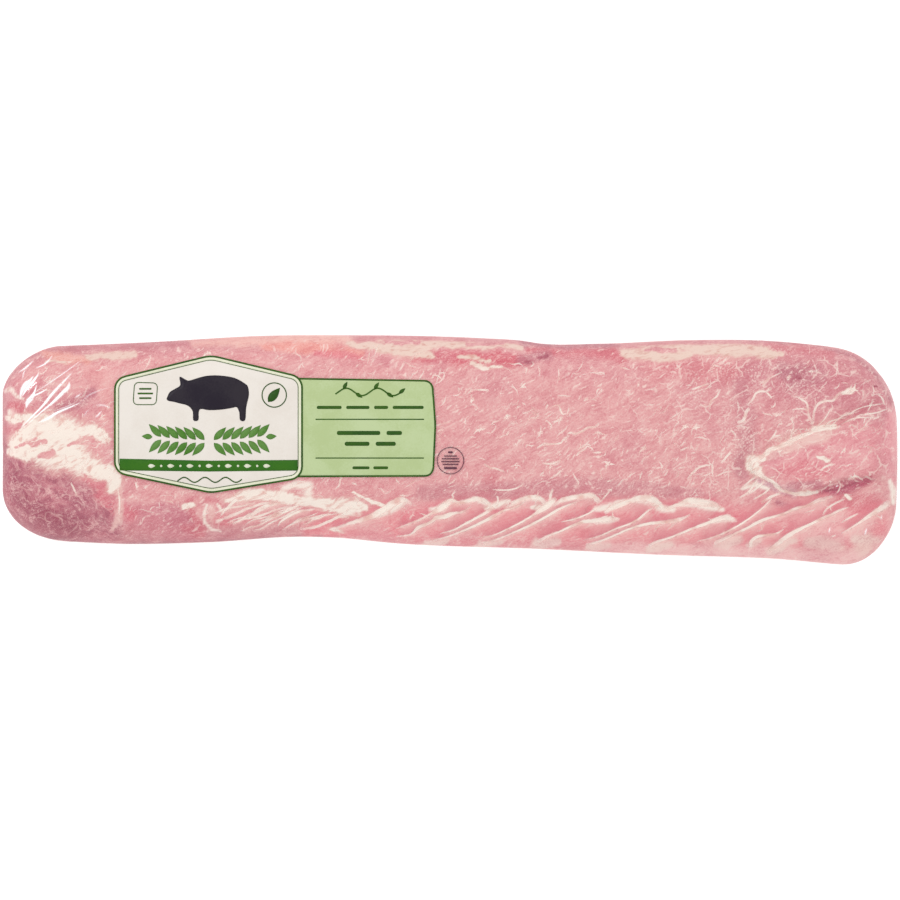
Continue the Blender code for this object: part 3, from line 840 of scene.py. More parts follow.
# Broad soft areas of colour on the lean face: colour, strength, and a stroke through the area
AREAS = (
    # Strips along the rib edge, redder low down, with pale fat among them at their left end
    (FINGER, 0.9, ((-85, -50, 11), (0, -48, 13), (80, -47, 14), (150, -48, 14), (215, -53, 14),
                   (272, -46, 14))),
    (FINGER_DEEP, 0.4, ((-30, -58, 4), (40, -60, 4), (110, -62, 4))),
    (PEACH, 0.6, ((-144, -31, 3), (-125, -31, 5), (-100, -33, 5), (-84, -35, 5))),
    (ROSE, 1.0, ((-213, -42, 9), (-190, -46, 11), (-168, -53, 7))),
    # Crumpled meat at the lower left, and the pink round it
    *((MAUVE, 1.0, path) for path in CRUMPLED),
    (MAUVE_DEEP, 1.0, ((-286, -12, 5), (-276, -30, 8), (-258, -44, 9), (-236, -50, 7))),
    # Painted shade along the left end's outline
    ((190, 98, 116), 0.9, ((-291, 36, 2), (-291, 10, 3), (-291, 0, 7), (-290, -38, 7))),
    ((250, 216, 210), 0.7, ((-285, 35, 3), (-279, 27, 4.5), (-283, 18, 3.5))),
    (FINGER_DEEP, 0.7, ((-235, -15, 4), (-227, -22, 5), (-222, -34, 5), (-206, -42, 5))),
    ((214, 134, 146), 0.9, ((-186, -38, 6), (-178, -43, 8), (-170, -48, 7))),
    (RED, 0.7, ((-172, -50, 3), (-163, -54, 4))),
    (RED, 0.7, ((-168, -33, 2.5), (-165, -44, 3), (-161, -54, 3.5))),
    (RED, 0.6, ((-158, -32, 1.5), (-149, -32.5, 1.5))),
    (PEACH, 0.6, ((-154, -38, 2.5), (-153, -46, 3))),
    # Painted shade along the rib edge's outline at the left
    ((174, 100, 118), 0.5, ((-262, -55, 2.2), (-245, -60, 2.8), (-204, -62.8, 3.2), (-155, -61.7, 3.2),
                           (-97, -58.2, 3.2), (-60, -59.7, 2.4))),
    (FINGER_DEEP, 0.7, ((-150, -46, 4), (-130, -43, 4), (-108, -44, 5), (-92, -45, 5))),
    # Upper left corner
    (ROSE, 0.7, ((-284, 38, 9), (-262, 36, 10), (-245, 27, 10), (-232, 30, 8))),
    (MAUVE, 0.8, ((-254, 26, 4), (-241, 31, 4), (-231, 37, 3))),
    (PINK, 0.5, ((-232, 52, 6), (-222, 44, 7), (-219, 22, 6))),
    (ORANGE, 0.9, ((-262, 62, 3), (-250, 60, 3.2), (-236, 58, 3))),
    (RED, 0.6, ((-287, 13, 3), (-280, 12, 3))),
    (RED, 0.9, ((-284, 29, 2.5), (-276, 27, 3))),
    # Along the chine edge
    ((250, 204, 190), 1.0, ((-165, 70, 4), (-140, 72, 5.5), (-105, 73, 6), (-68, 72, 5))),
    ((247, 172, 160), 0.9, ((-120, 67.5, 3), (-98, 66.5, 4.2), (-75, 65.5, 4), (-58, 62.5, 3))),
    ((238, 136, 147), 0.7, ((-86, 62.5, 2), (-72, 62, 2.6), (-58, 60, 2.4))),
    (ROSE, 0.6, ((-50, 59, 2.5), (-38, 56, 3.5))),
    (RED_DEEP, 1.0, ((-22, 61, 4), (0, 60, 5), (16, 59, 5.5), (32, 58.5, 5.5), (46, 57.5, 4))),
    (RED_DEEP, 0.8, ((52, 65, 3), (65, 64.5, 5), (81, 65, 5.5), (91, 64, 5), (104, 62, 5), (111, 58.5, 4))),
    (MAUVE, 1.0, ((48, 70, 3.5), (75, 69, 4), (108, 70, 3.5))),
    (MAUVE, 0.8, ((46, 58, 4), (56, 60, 4), (64, 61, 3.5))),
    (ROSE, 0.4, ((60, 54, 8), (90, 53, 9), (117, 50, 8))),
    (RED, 0.5, ((139, 53, 6), (156, 51, 8), (172, 49.5, 8), (187, 50, 6))),
    # Upper right
    ((218, 142, 150), 0.9, ((200, 50, 14), (240, 44, 22), (268, 40, 24), (280, 20, 16))),
    (ROSE, 0.4, ((205, 28, 14), (225, 20, 12))),
    (MAUVE, 1.0, ((216, 51, 6), (226, 47, 9), (238, 48, 7))),
    (RED, 0.6, ((205, 68, 3), (225, 66, 4), (245, 63, 4))),
    # Painted shade along the outline at the upper right
    ((190, 104, 120), 0.6, ((198, 71, 1), (233, 69, 1.2), (258, 62, 1.2), (274, 50, 1.2), (286, 30, 1))),
    # Loose redder spots in the lean, and the shade above the strips
    (RED, 0.5, ((26, -19, 5), (30, -21, 5))),
    (RED, 0.4, ((87, -20, 5), (92, -21, 5))),
    (RED, 0.4, ((132, 48, 6), (140, 49, 5))),
    (MAUVE, 0.5, ((-18, -28, 5), (0, -27, 6), (30, -28, 7), (60, -26, 7), (90, -24, 7), (130, -26, 6),
                  (160, -29, 4))),
    # Painted shade in the shallow valley left of the tongue and beside its tip, and the tongue
    (MAUVE, 0.5, ((187, 42, 6), (191, 22, 7), (192, 2, 7), (189, -12, 7))),
    (MAUVE, 0.3, ((187, -6, 4), (189, -16, 5), (190, -23, 3))),
    ((240, 165, 170), 0.9, ((207, -8, 7), (225, -6, 13), (250, -2, 15), (280, 4, 16))),
    (PEACH, 0.8, ((205, -4, 3.5), (216, 0, 4), (230, 5, 4), (243, 10, 4))),
    (FINGER_DEEP, 0.55, ((214, -14, 5), (228, -13, 8), (240, -16, 6))),
    (MAUVE, 0.7, ((219, -23, 2.5), (230, -23.5, 3), (239, -22, 3))),
    ((243, 168, 172), 0.9, ((287, 22, 6), (288, 0, 6), (287, -16, 7))),
    ((216, 172, 182), 0.7, ((199, -21, 3), (210, -24, 3), (222, -28, 3))),
    # Warm tips of three strips
    (WARM, 0.7, ((-1, -35, 2.5), (4, -34, 2.5))),
    (WARM, 0.7, ((29, -36, 2.5), (35, -35.5, 2.5))),
    (WARM, 0.7, ((65, -33, 2.5), (72, -33, 2))),
    # Under the tongue, and the lower right corner
    (RED, 0.6, ((252, -30, 4), (262, -34, 6), (273, -32, 6))),
    # Painted shadow in the gap under the tongue's foot
    ((200, 104, 124), 1.0, ((236, -26.5, 2), (246, -25.8, 4), (256, -24, 5), (263, -22, 4), (272, -19, 2))),
    (MAUVE, 0.9, ((212, -34, 2), (218, -37, 3), (226, -36, 2))),
    ((249, 192, 190), 0.8, ((232, -50, 10), (248, -50, 12), (266, -50, 10))),
    (PEACH, 0.9, ((232, -60, 4), (242, -62, 6), (252, -65, 5))),
    (PEACH, 0.9, ((262, -58, 3), (270, -61, 5.5), (264, -66, 5))),
    ((249, 198, 195), 0.9, ((96, -62, 3), (120, -64, 4), (162, -65, 5), (201, -67, 5.5), (227, -69, 6),
                            (259, -70, 6))),
    # The tail of the knot of fat at the left
    (PEACH, 0.8, ((-215, -24, 2.4), (-213, -33, 2), (-214, -44, 2), (-219, -52, 1.6))),
    # Blunt lower ends of the strips, and lumps in the lower right corner
    (LUMP, 0.9, ((-15, -60, 2), (-9, -60.5, 3.2), (-2, -59, 2))),
    (LUMP, 0.9, ((19, -60.5, 2), (25, -61, 3.2), (33, -59, 2))),
    (LUMP, 1.0, ((56.5, -60, 3.4), (61, -61.5, 4.2), (70, -59, 2.2))),
    (LUMP, 0.9, ((89, -63, 2.2), (95, -63.5, 3.4), (103, -61.5, 2))),
    (LUMP, 0.9, ((129, -64, 2.4), (135, -62.5, 3.2), (144, -61, 2))),
    (LUMP, 0.85, ((172, -61.5, 2.4), (178, -61, 4), (188, -57.5, 2.2))),
    (LUMP, 0.9, ((194, -61, 3), (200, -59, 2.2))),
    (LUMP, 0.9, ((207, -65, 3), (214, -62.5, 3.4), (222, -58, 2.2))),
    (LUMP, 0.75, ((231, -60, 3), (240, -59.5, 4.2), (249, -62, 3.2))),
    (LUMP, 0.75, ((261, -57.5, 3), (270, -57, 4), (277, -59, 2.6))),
)

# Soft cream between and over the tips of the strips, and at the ends
PALE_STROKES = (
    ((-48, -43, 1.8), (-38, -38, 3.1), (-30, -33.5, 2.1)),
    ((-13, -38.5, 1.4), (-5, -37.5, 2.8), (0, -33, 1.7)),
    ((6, -34, 1.1), (17, -31.5, 1.7), (25, -35, 1.7)),
    ((23, -37.5, 1.4), (31, -35.5, 2.5), (38, -33, 1.5)),
    ((40, -34, 1.1), (50, -31, 1.7), (58, -31.5, 1.5)),
    ((53, -37, 1.5), (60, -37, 2.8), (66, -33.5, 2.1)),
    ((72, -33, 1.1), (84, -30, 1.5), (92, -29.5, 1.7)),
    ((94, -38, 1.8), (101, -37.5, 2.8), (108, -34.5, 2.4), (115, -33, 1.7)),
    ((120, -32, 2.1), (130, -32.5, 2.9), (137, -38, 2.5), (144, -38.5, 2)),
    ((149, -35, 1.7), (158, -34.5, 2.5), (166, -36.5, 2.5), (176, -38.5, 1.7)),
    ((189, -25, 1.4), (197, -22, 2), (205, -25, 1.4)),
    ((94, -47, 1), (102, -45.5, 2), (109, -45, 1)),
    ((170, -46.5, 1.1), (179, -44.5, 2.1), (185, -45.5, 1)),
    # Curled end of a strip below the badge, and scraps beside it
    ((-157, -35.5, 1), (-159, -41, 1.2), (-158.5, -47, 1.2), (-154, -51.5, 1.2), (-148, -52.5, 0.7)),
    ((-150.3, -35, 1), (-147, -40.2, 1.2)),
    ((-150.5, -46, 1.4), (-147.5, -45.5, 1)),
    # Fat at the right end
    ((284.5, -20, 1.6), (287, -27, 2.4), (287, -34, 1.8)),
    # Greyish fat below the badge's right corner, and fat at the left end
    ((-108, -25, 1.8), (-100, -22.5, 2.8), (-91, -23, 3), (-92, -31, 3)),
    ((-288, 38, 1.4), (-284, 39.5, 1.8), (-281, 35.5, 1.5), (-276, 33, 1)),
    ((-285, 25, 1.6), (-284, 19, 2)),
)

# Solid fat
FAT_STROKES = (
    # Pad at the left end, with its upper lobes and its knot
    ((-281, 5, 5), (-271, 10, 9), (-259, 11, 11.5), (-248, 12, 10.5)),
    ((-279, 2, 5), (-262, -1, 10), (-249, -1, 12), (-239, -7, 9), (-229, -12.5, 6), (-221, -16.5, 5)),
    ((-286, -1, 2), (-274, -4, 3)),
    ((-289, 21, 1.4), (-284, 20, 2), (-278, 17, 3)),
    ((-279, 22.5, 2), (-270, 20, 3.2), (-262, 20, 3.4)),
    ((-240, 13, 3), (-231, 12, 4), (-222, 8, 3.2)),
    ((-219, -14, 4), (-216, -18, 4), (-219, -25, 3.6)),
    # Streaks at the upper left
    ((-235, 60, 1.8), (-222, 61.5, 2.6), (-206, 61.5, 2.4)),
    ((-262, 57, 0.9), (-247, 57.5, 0.9)),
    # Below the badge, and to its right
    ((-173, -37, 1.8), (-166, -35.5, 2)),
    ((-144, -33, 1.4), (-137, -30, 2.8), (-128, -28.5, 4), (-118, -29, 4.2), (-107, -31, 4), (-97, -33, 3.4),
     (-86, -34, 3)),
    ((-88, -33, 1.8), (-78, -35, 4.6), (-68, -37, 6.4), (-61, -37, 5.4), (-54, -37.5, 2)),
    ((-63, -27, 0.8), (-57, -30.5, 1), (-50, -34.5, 1.5), (-41, -35.5, 1.2)),
    ((-77, -51, 1.8), (-69, -54, 1.8)),
    # Slabs along the chine edge
    ((-66, 69.5, 2), (-52, 67.5, 3), (-38, 65.5, 3.8), (-24, 63.5, 4), (-12, 61.5, 2)),
    ((-46, 71.5, 1.2), (-25, 71.3, 1.6), (-8, 69.5, 3.4), (13, 68.5, 3), (32, 68, 2.6), (46, 66.8, 1.8)),
    ((-24, 65.5, 3), (-10, 68, 3)),
    ((6, 60.5, 1.2), (16, 59.5, 1.7), (25, 57.5, 1.2)),
    ((14, 55, 1.3), (20, 53.8, 1.6), (34, 53.2, 0.8)),
    ((113, 63.5, 3.2), (123, 62, 3.8), (137, 60.5, 3.2), (155, 62, 2.8)),
    ((123, 67.5, 2), (155, 67, 2.8), (162, 66, 3.2)),
    ((157, 66, 5), (175, 66.5, 6), (191, 66, 6), (202, 64, 4.8)),
    ((202, 63, 3.4), (209, 61.5, 2.4), (215, 62, 1.3)),
    # Rim of the tongue, its blunt tip, its nick and its foot
    ((194, -6, 2.5), (196, -9.5, 4.4), (198, -13.5, 3.6)),
    ((197, -6, 2.6), (202, -5.5, 2.2)),
    ((203.5, -3, 1.3), (206, 0, 2), (213, 2.4, 1.6), (221, 6, 2.4), (228, 9.4, 2.2), (233, 11.5, 1)),
    ((234, 13, 1.6), (241, 14, 2.2), (248, 14.5, 1.8)),
    ((236, -3.5, 0.8), (241, -5, 1.8), (245, -7.5, 1)),
    ((197, -15, 1.4), (203, -18, 1.4), (209.5, -21.5, 1.2), (214, -25.5, 1)),
    ((214, -26, 1), (222, -28.2, 1.4), (230, -28.6, 1.3), (238, -26.6, 0.9)),
    # A patch of fat in the lean at the right end
    ((254, 36.5, 1), (258.5, 38, 2.2), (263, 40.5, 1)),
    # Lower right
    ((256, -30, 1.6), (258, -32, 1.2)),
)

# Holes in the fat through which red meat shows
FAT_HOLES = (
    ((-270, 3, 1.6), (-262, 5.5, 1.8)),
    ((-264, -4, 1.8), (-258, -2, 2.4)),
    ((-280, 2, 0.8), (-268, 7, 0.8)),
    ((-286, 13, 2), (-279, 15.5, 2.2)),
    ((-246, 3, 0.7), (-236, 5, 0.7)),
    ((-138, -37.5, 1), (-124, -34.5, 1.3), (-112, -35, 0.7)),
    ((11, 68.7, 0.9), (34, 68.5, 1)),
    ((-41.5, 69.6, 0.8), (-30, 69.6, 1.1), (-19.4, 69.9, 0.9)),
    ((127, 64.5, 0.8), (146, 64.5, 1.1)),
    ((199, -29.5, 1), (203, -26.5, 1.2)),
)

# Strings of fat, veins in the lean and threads over the strips: half-width, then (x, y) points
VEINS = (
    # Below the pad at the left end
    (0.5, (-245, -21), (-243, -25), (-241, -30)),
    (0.45, (-215, -22), (-213.5, -33), (-214, -42)),
    # Among the strips at the left, and threads that rise from the strips' tips
    (0.7, (-148, -45), (-139, -41.5), (-130, -37.5), (-120, -34.5), (-111, -33.5)),
    (0.6, (-131, -45), (-126, -41), (-120, -37.5), (-113, -35)),
    (0.6, (-141, -48), (-133, -44.5), (-124, -43), (-112, -38.5), (-101, -36)),
    (0.5, (-152, -41), (-145, -38), (-136, -36.5), (-126, -34)),
    (0.7, (-97, -51), (-87.5, -50), (-78, -46), (-71, -43), (-65, -43.5)),
    (0.45, (-1, -34.5), (2, -31), (1.5, -29), (3.5, -26.5)),
    (0.5, (30, -37), (31, -32), (30.3, -29.5)),
    (0.3, (37, -37), (38, -34), (39, -32)),
    (0.7, (64.5, -33), (65, -29), (66.5, -25)),
    (0.35, (97, -34), (101, -29), (105, -24.5)),
    # In the lean
    (0.5, (16, 39), (25, 38.7)),
    (0.45, (66, 28), (70, 28.8), (71.5, 25.3), (73, 23), (75, 24)),
    (0.6, (76.5, 11.5), (81.5, 10.5), (86, 12.6), (89, 14.5), (93.5, 15), (96.5, 17.5)),
    (0.45, (60, 3), (64.5, 3.7), (71, 4.3), (73, 6.2), (75.5, 7.8)),
    (0.5, (59.5, -8.4), (63.5, -9), (67, -8.6), (72, -6.4)),
    (0.5, (22, -9), (26, -11.5), (29.5, -12), (35.5, -14.3)),
    (0.4, (27.5, -25.5), (34.5, -26), (42, -25), (47.5, -21.8)),
    (0.5, (156, 39), (160.5, 40.6), (167.5, 43.2)),
    (0.5, (174.5, 39.5), (172.5, 35), (168.5, 31.5), (167.5, 26)),
    (0.55, (153, -19), (156.5, -15), (160.5, -11.5), (165, -10), (168.5, -9.7)),
    (0.6, (175, -8.5), (179, -4), (181.5, -1.3)),
    # From the valley up to the right
    (0.8, (185.5, 17.5), (189.5, 19.4), (191.5, 24.8), (193.5, 27)),
    (0.55, (192, 28.7), (195.5, 32.7), (197.5, 36.5), (201, 38), (204, 37.7), (208, 40)),
    (0.4, (204, 37.7), (208, 33.5)),
    (0.35, (201.5, 41), (204.5, 45), (214.5, 50.5)),
    (0.55, (224, 34.7), (227, 32.7), (230.5, 30), (231.5, 23.5), (234.5, 16)),
    (0.6, (234.5, 17), (235, 24), (237.5, 29.5), (242.5, 31.7), (247, 32), (251.5, 36.5), (256, 37.5)),
    (0.35, (221, 26), (227, 26.7), (231, 25.5)),
    (0.4, (276.5, 36), (279.5, 33.3), (281, 28.5)),
    # Crisp rim of the tongue, and hair-like strings along its upper edge
    (1.1, (194, -12), (195, -8), (199, -5.5), (203.5, -3)),
    (1.0, (203, -3.5), (206, 0), (213, 2.4), (221, 6), (228, 9.4), (234, 11.5)),
    (0.9, (195, -14), (203, -18), (209.5, -21.5), (214, -25.5)),
    (0.8, (213, -25.5), (222, -28.2), (230, -28.6), (239, -26.4)),
    (0.5, (206, 6), (209, 9), (211, 13)),
    (0.4, (209, 9), (214, 9.5)),
    (0.36, (236, 14), (242, 20), (246, 27)),
    (0.36, (241, 15), (247, 19), (256, 21)),
    (0.38, (246, 15.5), (253, 21.5), (262, 25)),
    (0.4, (252, 16), (261, 20.5), (272, 21)),
    (0.34, (256, 22), (266, 27.5), (280, 30)),
    (0.4, (257, 18), (265, 22.5), (275, 24), (284, 27)),
    # At its foot, and under it
    (0.6, (189, -24), (195, -19), (200, -16)),
    (0.6, (192, -29), (199, -24), (203, -20)),
    (0.6, (187, -31), (193, -27), (198, -20)),
    (0.5, (196, -32), (203, -28), (207, -24)),
    (0.7, (201, -34), (208, -30), (214, -28)),
    (0.5, (239, -13.5), (243, -10.5), (249, -9)),
    (0.5, (257, -19), (262, -17), (267, -19.5)),
    (0.5, (241, -42), (243.5, -38), (249, -34.5), (255, -31.5)),
    (0.45, (253, -47), (258, -44), (264, -41)),
)

# Stars of fat in the lean: x, y and the reach of their rays
STARS = ((19, 13, 5), (47, 41, 4), (71, 19.5, 5), (125, 1, 5.5), (102, -9, 6), (152, 15, 4.5),
         (159, 14.5, 4), (14, 32, 4), (219, 47, 4), (259, 38.5, 9), (37, 22, 4), (88, 33, 5))
RAYS = 7
RAY_SPREAD = 0.35  # how far a ray strays, as a share of the space between rays
RAY_LENGTH = (0.4, 1.0)
RAY_BEND = 0.6
RAY_HALF_WIDTHS = (0.7, 0.45, 0.15)
STAR_STRETCH, STAR_TURN = 0.5, 1.1  # how much longer a star is than wide, and twice its direction

# Dark spots of meat, and a painted shadow in the gap under the tongue's foot
DARK_AND_SHADOW_STROKES = (
    ((49, 57, 1.6), (53.5, 56, 1.6)),
    ((57.5, 59, 1.6), (62, 61, 2)),
    ((222, 47.5, 1.4), (226, 47, 1.8)),
    ((275, 41.5, 1.2), (277, 41, 1)),
    # painted shadow in the gap under the tongue's foot
    ((243, -26.3, 0.8), (250, -25.3, 1.4), (258, -23, 1.4), (263, -21, 0.8)),
)

# Thin strings of meat that fan out at the strips' left end, between two lines of (x, y) points
FAN_TOP = ((-147, -40), (-132, -37), (-112, -35.5), (-92, -37), (-66, -40))
FAN_FOOT = ((-147, -52), (-122, -53), (-104, -52), (-86, -51), (-66, -47))
FAN_SPAN = (-146.0, -90.0)  # their left ends lie between these places
FAN_STRINGS = 14
FAN_SEED = 8
FAN_LENGTH = (15.0, 26.0)
FAN_START = (0.45, 1.05)  # share of the way down from the upper line, at a string's left end
FAN_CLIMB = 0.5  # and how much of it the string climbs
FAN_WAVINESS = 0.03
FAN_HALF_WIDTH = (0.3, 0.55)
FAN_TAPER = np.array((0.6, 1.0, 1.1, 0.9, 0.5))  # shares of the half-width along a string
FAN_SCALE = 0.4  # their shading is this much narrower than that of the strips

# Painted light and shade along the strips' edges
EDGE_SHADE_REACH = 16.0
EDGE_SHADE_FADE = 6.0  # it fades over this distance from an edge's ends
EDGE_LIGHT_WIDTH = (1.7, 2.4)  # at least, and more for each mm of the line of fat's half-width
EDGE_SHADOW_WIDTH = 1.3
EDGE_SHADE_OUTSIDE, EDGE_SHADE_WIDTH = 2.5, 3.2

# Short streaks of fat scattered through the lean
STREAK_COUNT = 600
STREAK_LENGTH = (4.0, 14.0)
STREAK_HALF_WIDTH = (0.25, 0.55)
STREAK_SPREAD = 17.0  # how far their directions stray from the fibres', in degrees
STREAK_TAPER = (0.3, 1.0, 1.0, 0.2)  # shares of the half-width along a streak
STREAK_MARGINS = (16.0, 14.0)  # they start this far inside the ends and the long edges
STREAK_KINK = 26.0  # how much they turn at each third of their length, in degrees
STREAK_SHORTENED = (0.5, 1.0)  # share of that length that one really has
STREAK_STRENGTH = (0.25, 0.75)
BRANCH_CHANCE = 0.3
BRANCH_TURNS = (-70.0, 65.0)
BRANCH_REACH = 0.35  # of the streak's length
BRANCH_TAPER = (1.0, 0.7, 0.2)
BRANCH_BEND = 0.2
LABEL_LEFT, LABEL_RIGHT, LABEL_FOOT, LABEL_TOP = -208, -18, -12, 42  # no streaks are made under it
CROWDS = (26.0, 41.0)  # wavelength and seed of the noise by which they gather
CROWD_SCATTER = 0.45
CROWD_LEAST = -0.1
BAND_BORDER = 0.3
BAND_SKIPS = 0.75  # share of the streaks left out among the strips
STREAK_SEED = 5

# Seams, veins and streaks: strength, and how much wider than drawn
EDGE_SEAMS = (1.0, 1.2)
VEIN_SEAMS = (0.85, 1.1)
FINE_SEAMS = 0.8  # strength of the fan's strings and the stars' rays
SEAM_SPREAD = 1.9  # the strips of mesh reach this many half-widths out from a seam's middle
SEAM_COLUMNS = 5  # points across one
WIDE_SEAM = 0.9  # a seam whose half-width is more than this has more of them
WIDE_SEAM_COLUMNS = 13
SEAM_END, SEAM_TAPER = 0.05, 0.4  # how faint a seam's ends are, and how fast it fills out from them
SEAM_LIFT = 0.25  # of the seams over the meat's mesh

# Colours slant along the loin on its flanks, by this much for each mm down from this height
FLANK_DRIFT = 0.9
DRIFT_FROM = FLANK_TOP + 8.0

# How painted borders stray, as (distance, wavelength, seed) of each layer of noise
DRIFT_WAVES = ((0.6, 30.0, 14.0),)  # its first value is a share of that drift
UNDER_WAVES = ((4.0, 22.0, 13.0),)
STRAY_ALONG = ((2.2, 9.0, 21.0), (0.9, 3.4, 22.0))
STRAY_ACROSS = ((1.6, 9.0, 23.0), (0.7, 3.4, 24.0))

# Soft borders: the place where a layer begins and the place where it is full
FACE_FROM = (34.0, 46.0)  # heights, for all that belongs to the lean face
EDGE_FROM = (56.0, 40.0)  # heights, for the painted shade, in mauve, on the rounded edge
UNDER_FROM = (FLANK_TOP + 2.0, FLANK_TOP - 14.0)  # heights, for the plain colour of the lower flanks
LEFT_FROM = (20.0, 160.0)  # distances left of the middle, for the painted shade along the outline
CHINE_FROM = (30.0, 60.0)  # and distances across, where that painted shade falls to its strength on the chine edge
TONGUE_FROM = (-2.0, 1.0)  # distances inside the tongue's edge
NET_FROM = (90.0, 160.0)  # x of the net of veins
SPECKS_FROM, SPECKS_TO = (110.0, 180.0), (225.0, 250.0)  # x of the specks' two borders
TINT_AND_SHADE_FROM = (50.0, 58.0)  # y of the warmer fat, with painted shade on its slope, along the chine edge
AREA_FROM = (-0.4, 0.6)  # fields of a stroke, for an area's colour
CRUMPLE_FROM = (-0.3, 0.5)  # and for the crumpled meat

RIM_SHADE_HEIGHT = 17.0  # the rounded edge's painted shade lies within this height of its outermost line
# Painted shade on the rounded edge: its share of mauve, its least strength and its strength on the chine edge
RIM_SHADE_MAUVE = 0.55
LEAST_RIM_SHADE, CHINE_RIM_SHADE = 0.1, 0.45
MARBLE_IN_LEAN, MARBLE_IN_STRIPS, MARBLE_LOST = 0.95, 0.6, 0.9  # the last, in the crumpled meat
SPECKS = 0.6
HOLE_FROM, HOLE_DEPTH = -0.3, 1.5  # where a hole's stroke cuts the fat, and how sharply
# share of the painted shade outside the strips' edges that it keeps off the strips
EDGE_SHADE_OFF_STRIPS = 0.3

# Fat cap: how high it reaches up the flanks, and how much less at the ends, within these distances
SIDE_FAT_TOP = 20.0
SIDE_FAT_DIP = 8.0
SIDE_FAT_DIP_SPAN = (26.0, 6.0)
SIDE_FAT_BORDER = 7.0
SIDE_FAT_WAVES = ((8.0, 46.0, 11.0), (4.0, 13.0, 12.0))  # how its border strays

# The crumpled meat's lumps, and how deep the meat lies under the film's outer form
CRUMPLE_LUMPS = ((1.0, 7.0, 31.0), (0.6, 3.3, 32.0))
CRUMPLE_DEPTH = 0.6
MEAT_DEPTH = FILM_GAP + 0.25
MEAT_DEPTH_WAVES = ((0.15, 5.0, 33.0),)
FLANK_DEPTH = 0.2  # share of that depth on the flanks
FULL_DEPTH_FROM = (FLANK_TOP, FLANK_TOP + 20.0)  # heights


def side_fat(x, z):
    """Fat on the flanks and the underside, where the loin's fat cap wraps round."""
    low = SIDE_FAT_TOP - SIDE_FAT_DIP * near_end(x, *SIDE_FAT_DIP_SPAN)
    large, small = SIDE_FAT_WAVES
    waves = ripples(x, 3.0 * z, (large,)) + ripples(x, 2.0 * z, (small,))
    return np.clip((low + waves - z) / SIDE_FAT_BORDER, -1.0, 1.0)


def crumple_field(x, y):
    """Field of the strokes through the crumpled meat."""
    return painted(x, y, CRUMPLED)


def ground_colour(x, y, rim_shade_share, under):
    """Colour of the meat under its marbling and its fat: with painted shade at the rounded edges, plain under
    them.
    """
    ground = np.tile(np.array(seen_as(LEAN)[:3]), (len(x), 1))
    shares = [(MAUVE, RIM_SHADE_MAUVE * rim_shade_share)]
    shares += [(colour, strength * ramp(stroke(x, y, path), *AREA_FROM)) for colour, strength, path in AREAS]
    for colour, share in [*shares, (FLANK, under)]:
        ground += share[:, None] * (np.array(seen_as(colour)[:3]) - ground)
    return ground


def fan_strings():
    """Paths of the fan's strings, which climb to the right and are a little wavy."""
    rng = np.random.default_rng(FAN_SEED)
    left, right = FAN_SPAN
    along = np.linspace(0.0, 1.0, len(FAN_TAPER))
    paths = []
    for number in range(FAN_STRINGS):
        start = left + (number + rng.random()) / FAN_STRINGS * (right - left)
        x = start + rng.uniform(*FAN_LENGTH) * along
        across = rng.uniform(*FAN_START) - FAN_CLIMB * along + rng.normal(0.0, FAN_WAVINESS, len(along))
        top, foot = through(FAN_TOP, x), through(FAN_FOOT, x)
        width = rng.uniform(*FAN_HALF_WIDTH) * FAN_TAPER
        paths.append(np.stack([x, top + (foot - top) * across, width], 1).tolist())
    return paths


def edge_fields(x, y):
    """Painted light inside each strip's edge, and a painted shadow and a wider painted shade outside it."""
    fields = {name: np.zeros(x.shape) for name in ("blush", "crease", "deep")}
    edges = [(path, 1.0) for path in FINGER_EDGES] + [(path, FAN_SCALE) for path in fan_strings()]
    for path, scale in edges:
        at = around(x, y, path, EDGE_SHADE_REACH * scale)
        side, width, from_end = nearest_on(x[at], y[at], smooth_path(path))
        faded = ramp(from_end, 0.0, EDGE_SHADE_FADE * scale)
        inside, outside = np.maximum(side, 0.0) / scale, np.maximum(-side, 0.0) / scale
        within, beyond = faded * (side > 0), faded * (side < 0)
        for name, values in (
            ("blush", within * np.exp(-inside / (EDGE_LIGHT_WIDTH[0] + EDGE_LIGHT_WIDTH[1] * width))),
            ("crease", beyond * np.exp(-outside / EDGE_SHADOW_WIDTH)),
            ("deep", beyond * np.exp(-(((outside - EDGE_SHADE_OUTSIDE) / EDGE_SHADE_WIDTH) ** 2))),
        ):
            fields[name][at] = np.maximum(fields[name][at], values)
    return fields


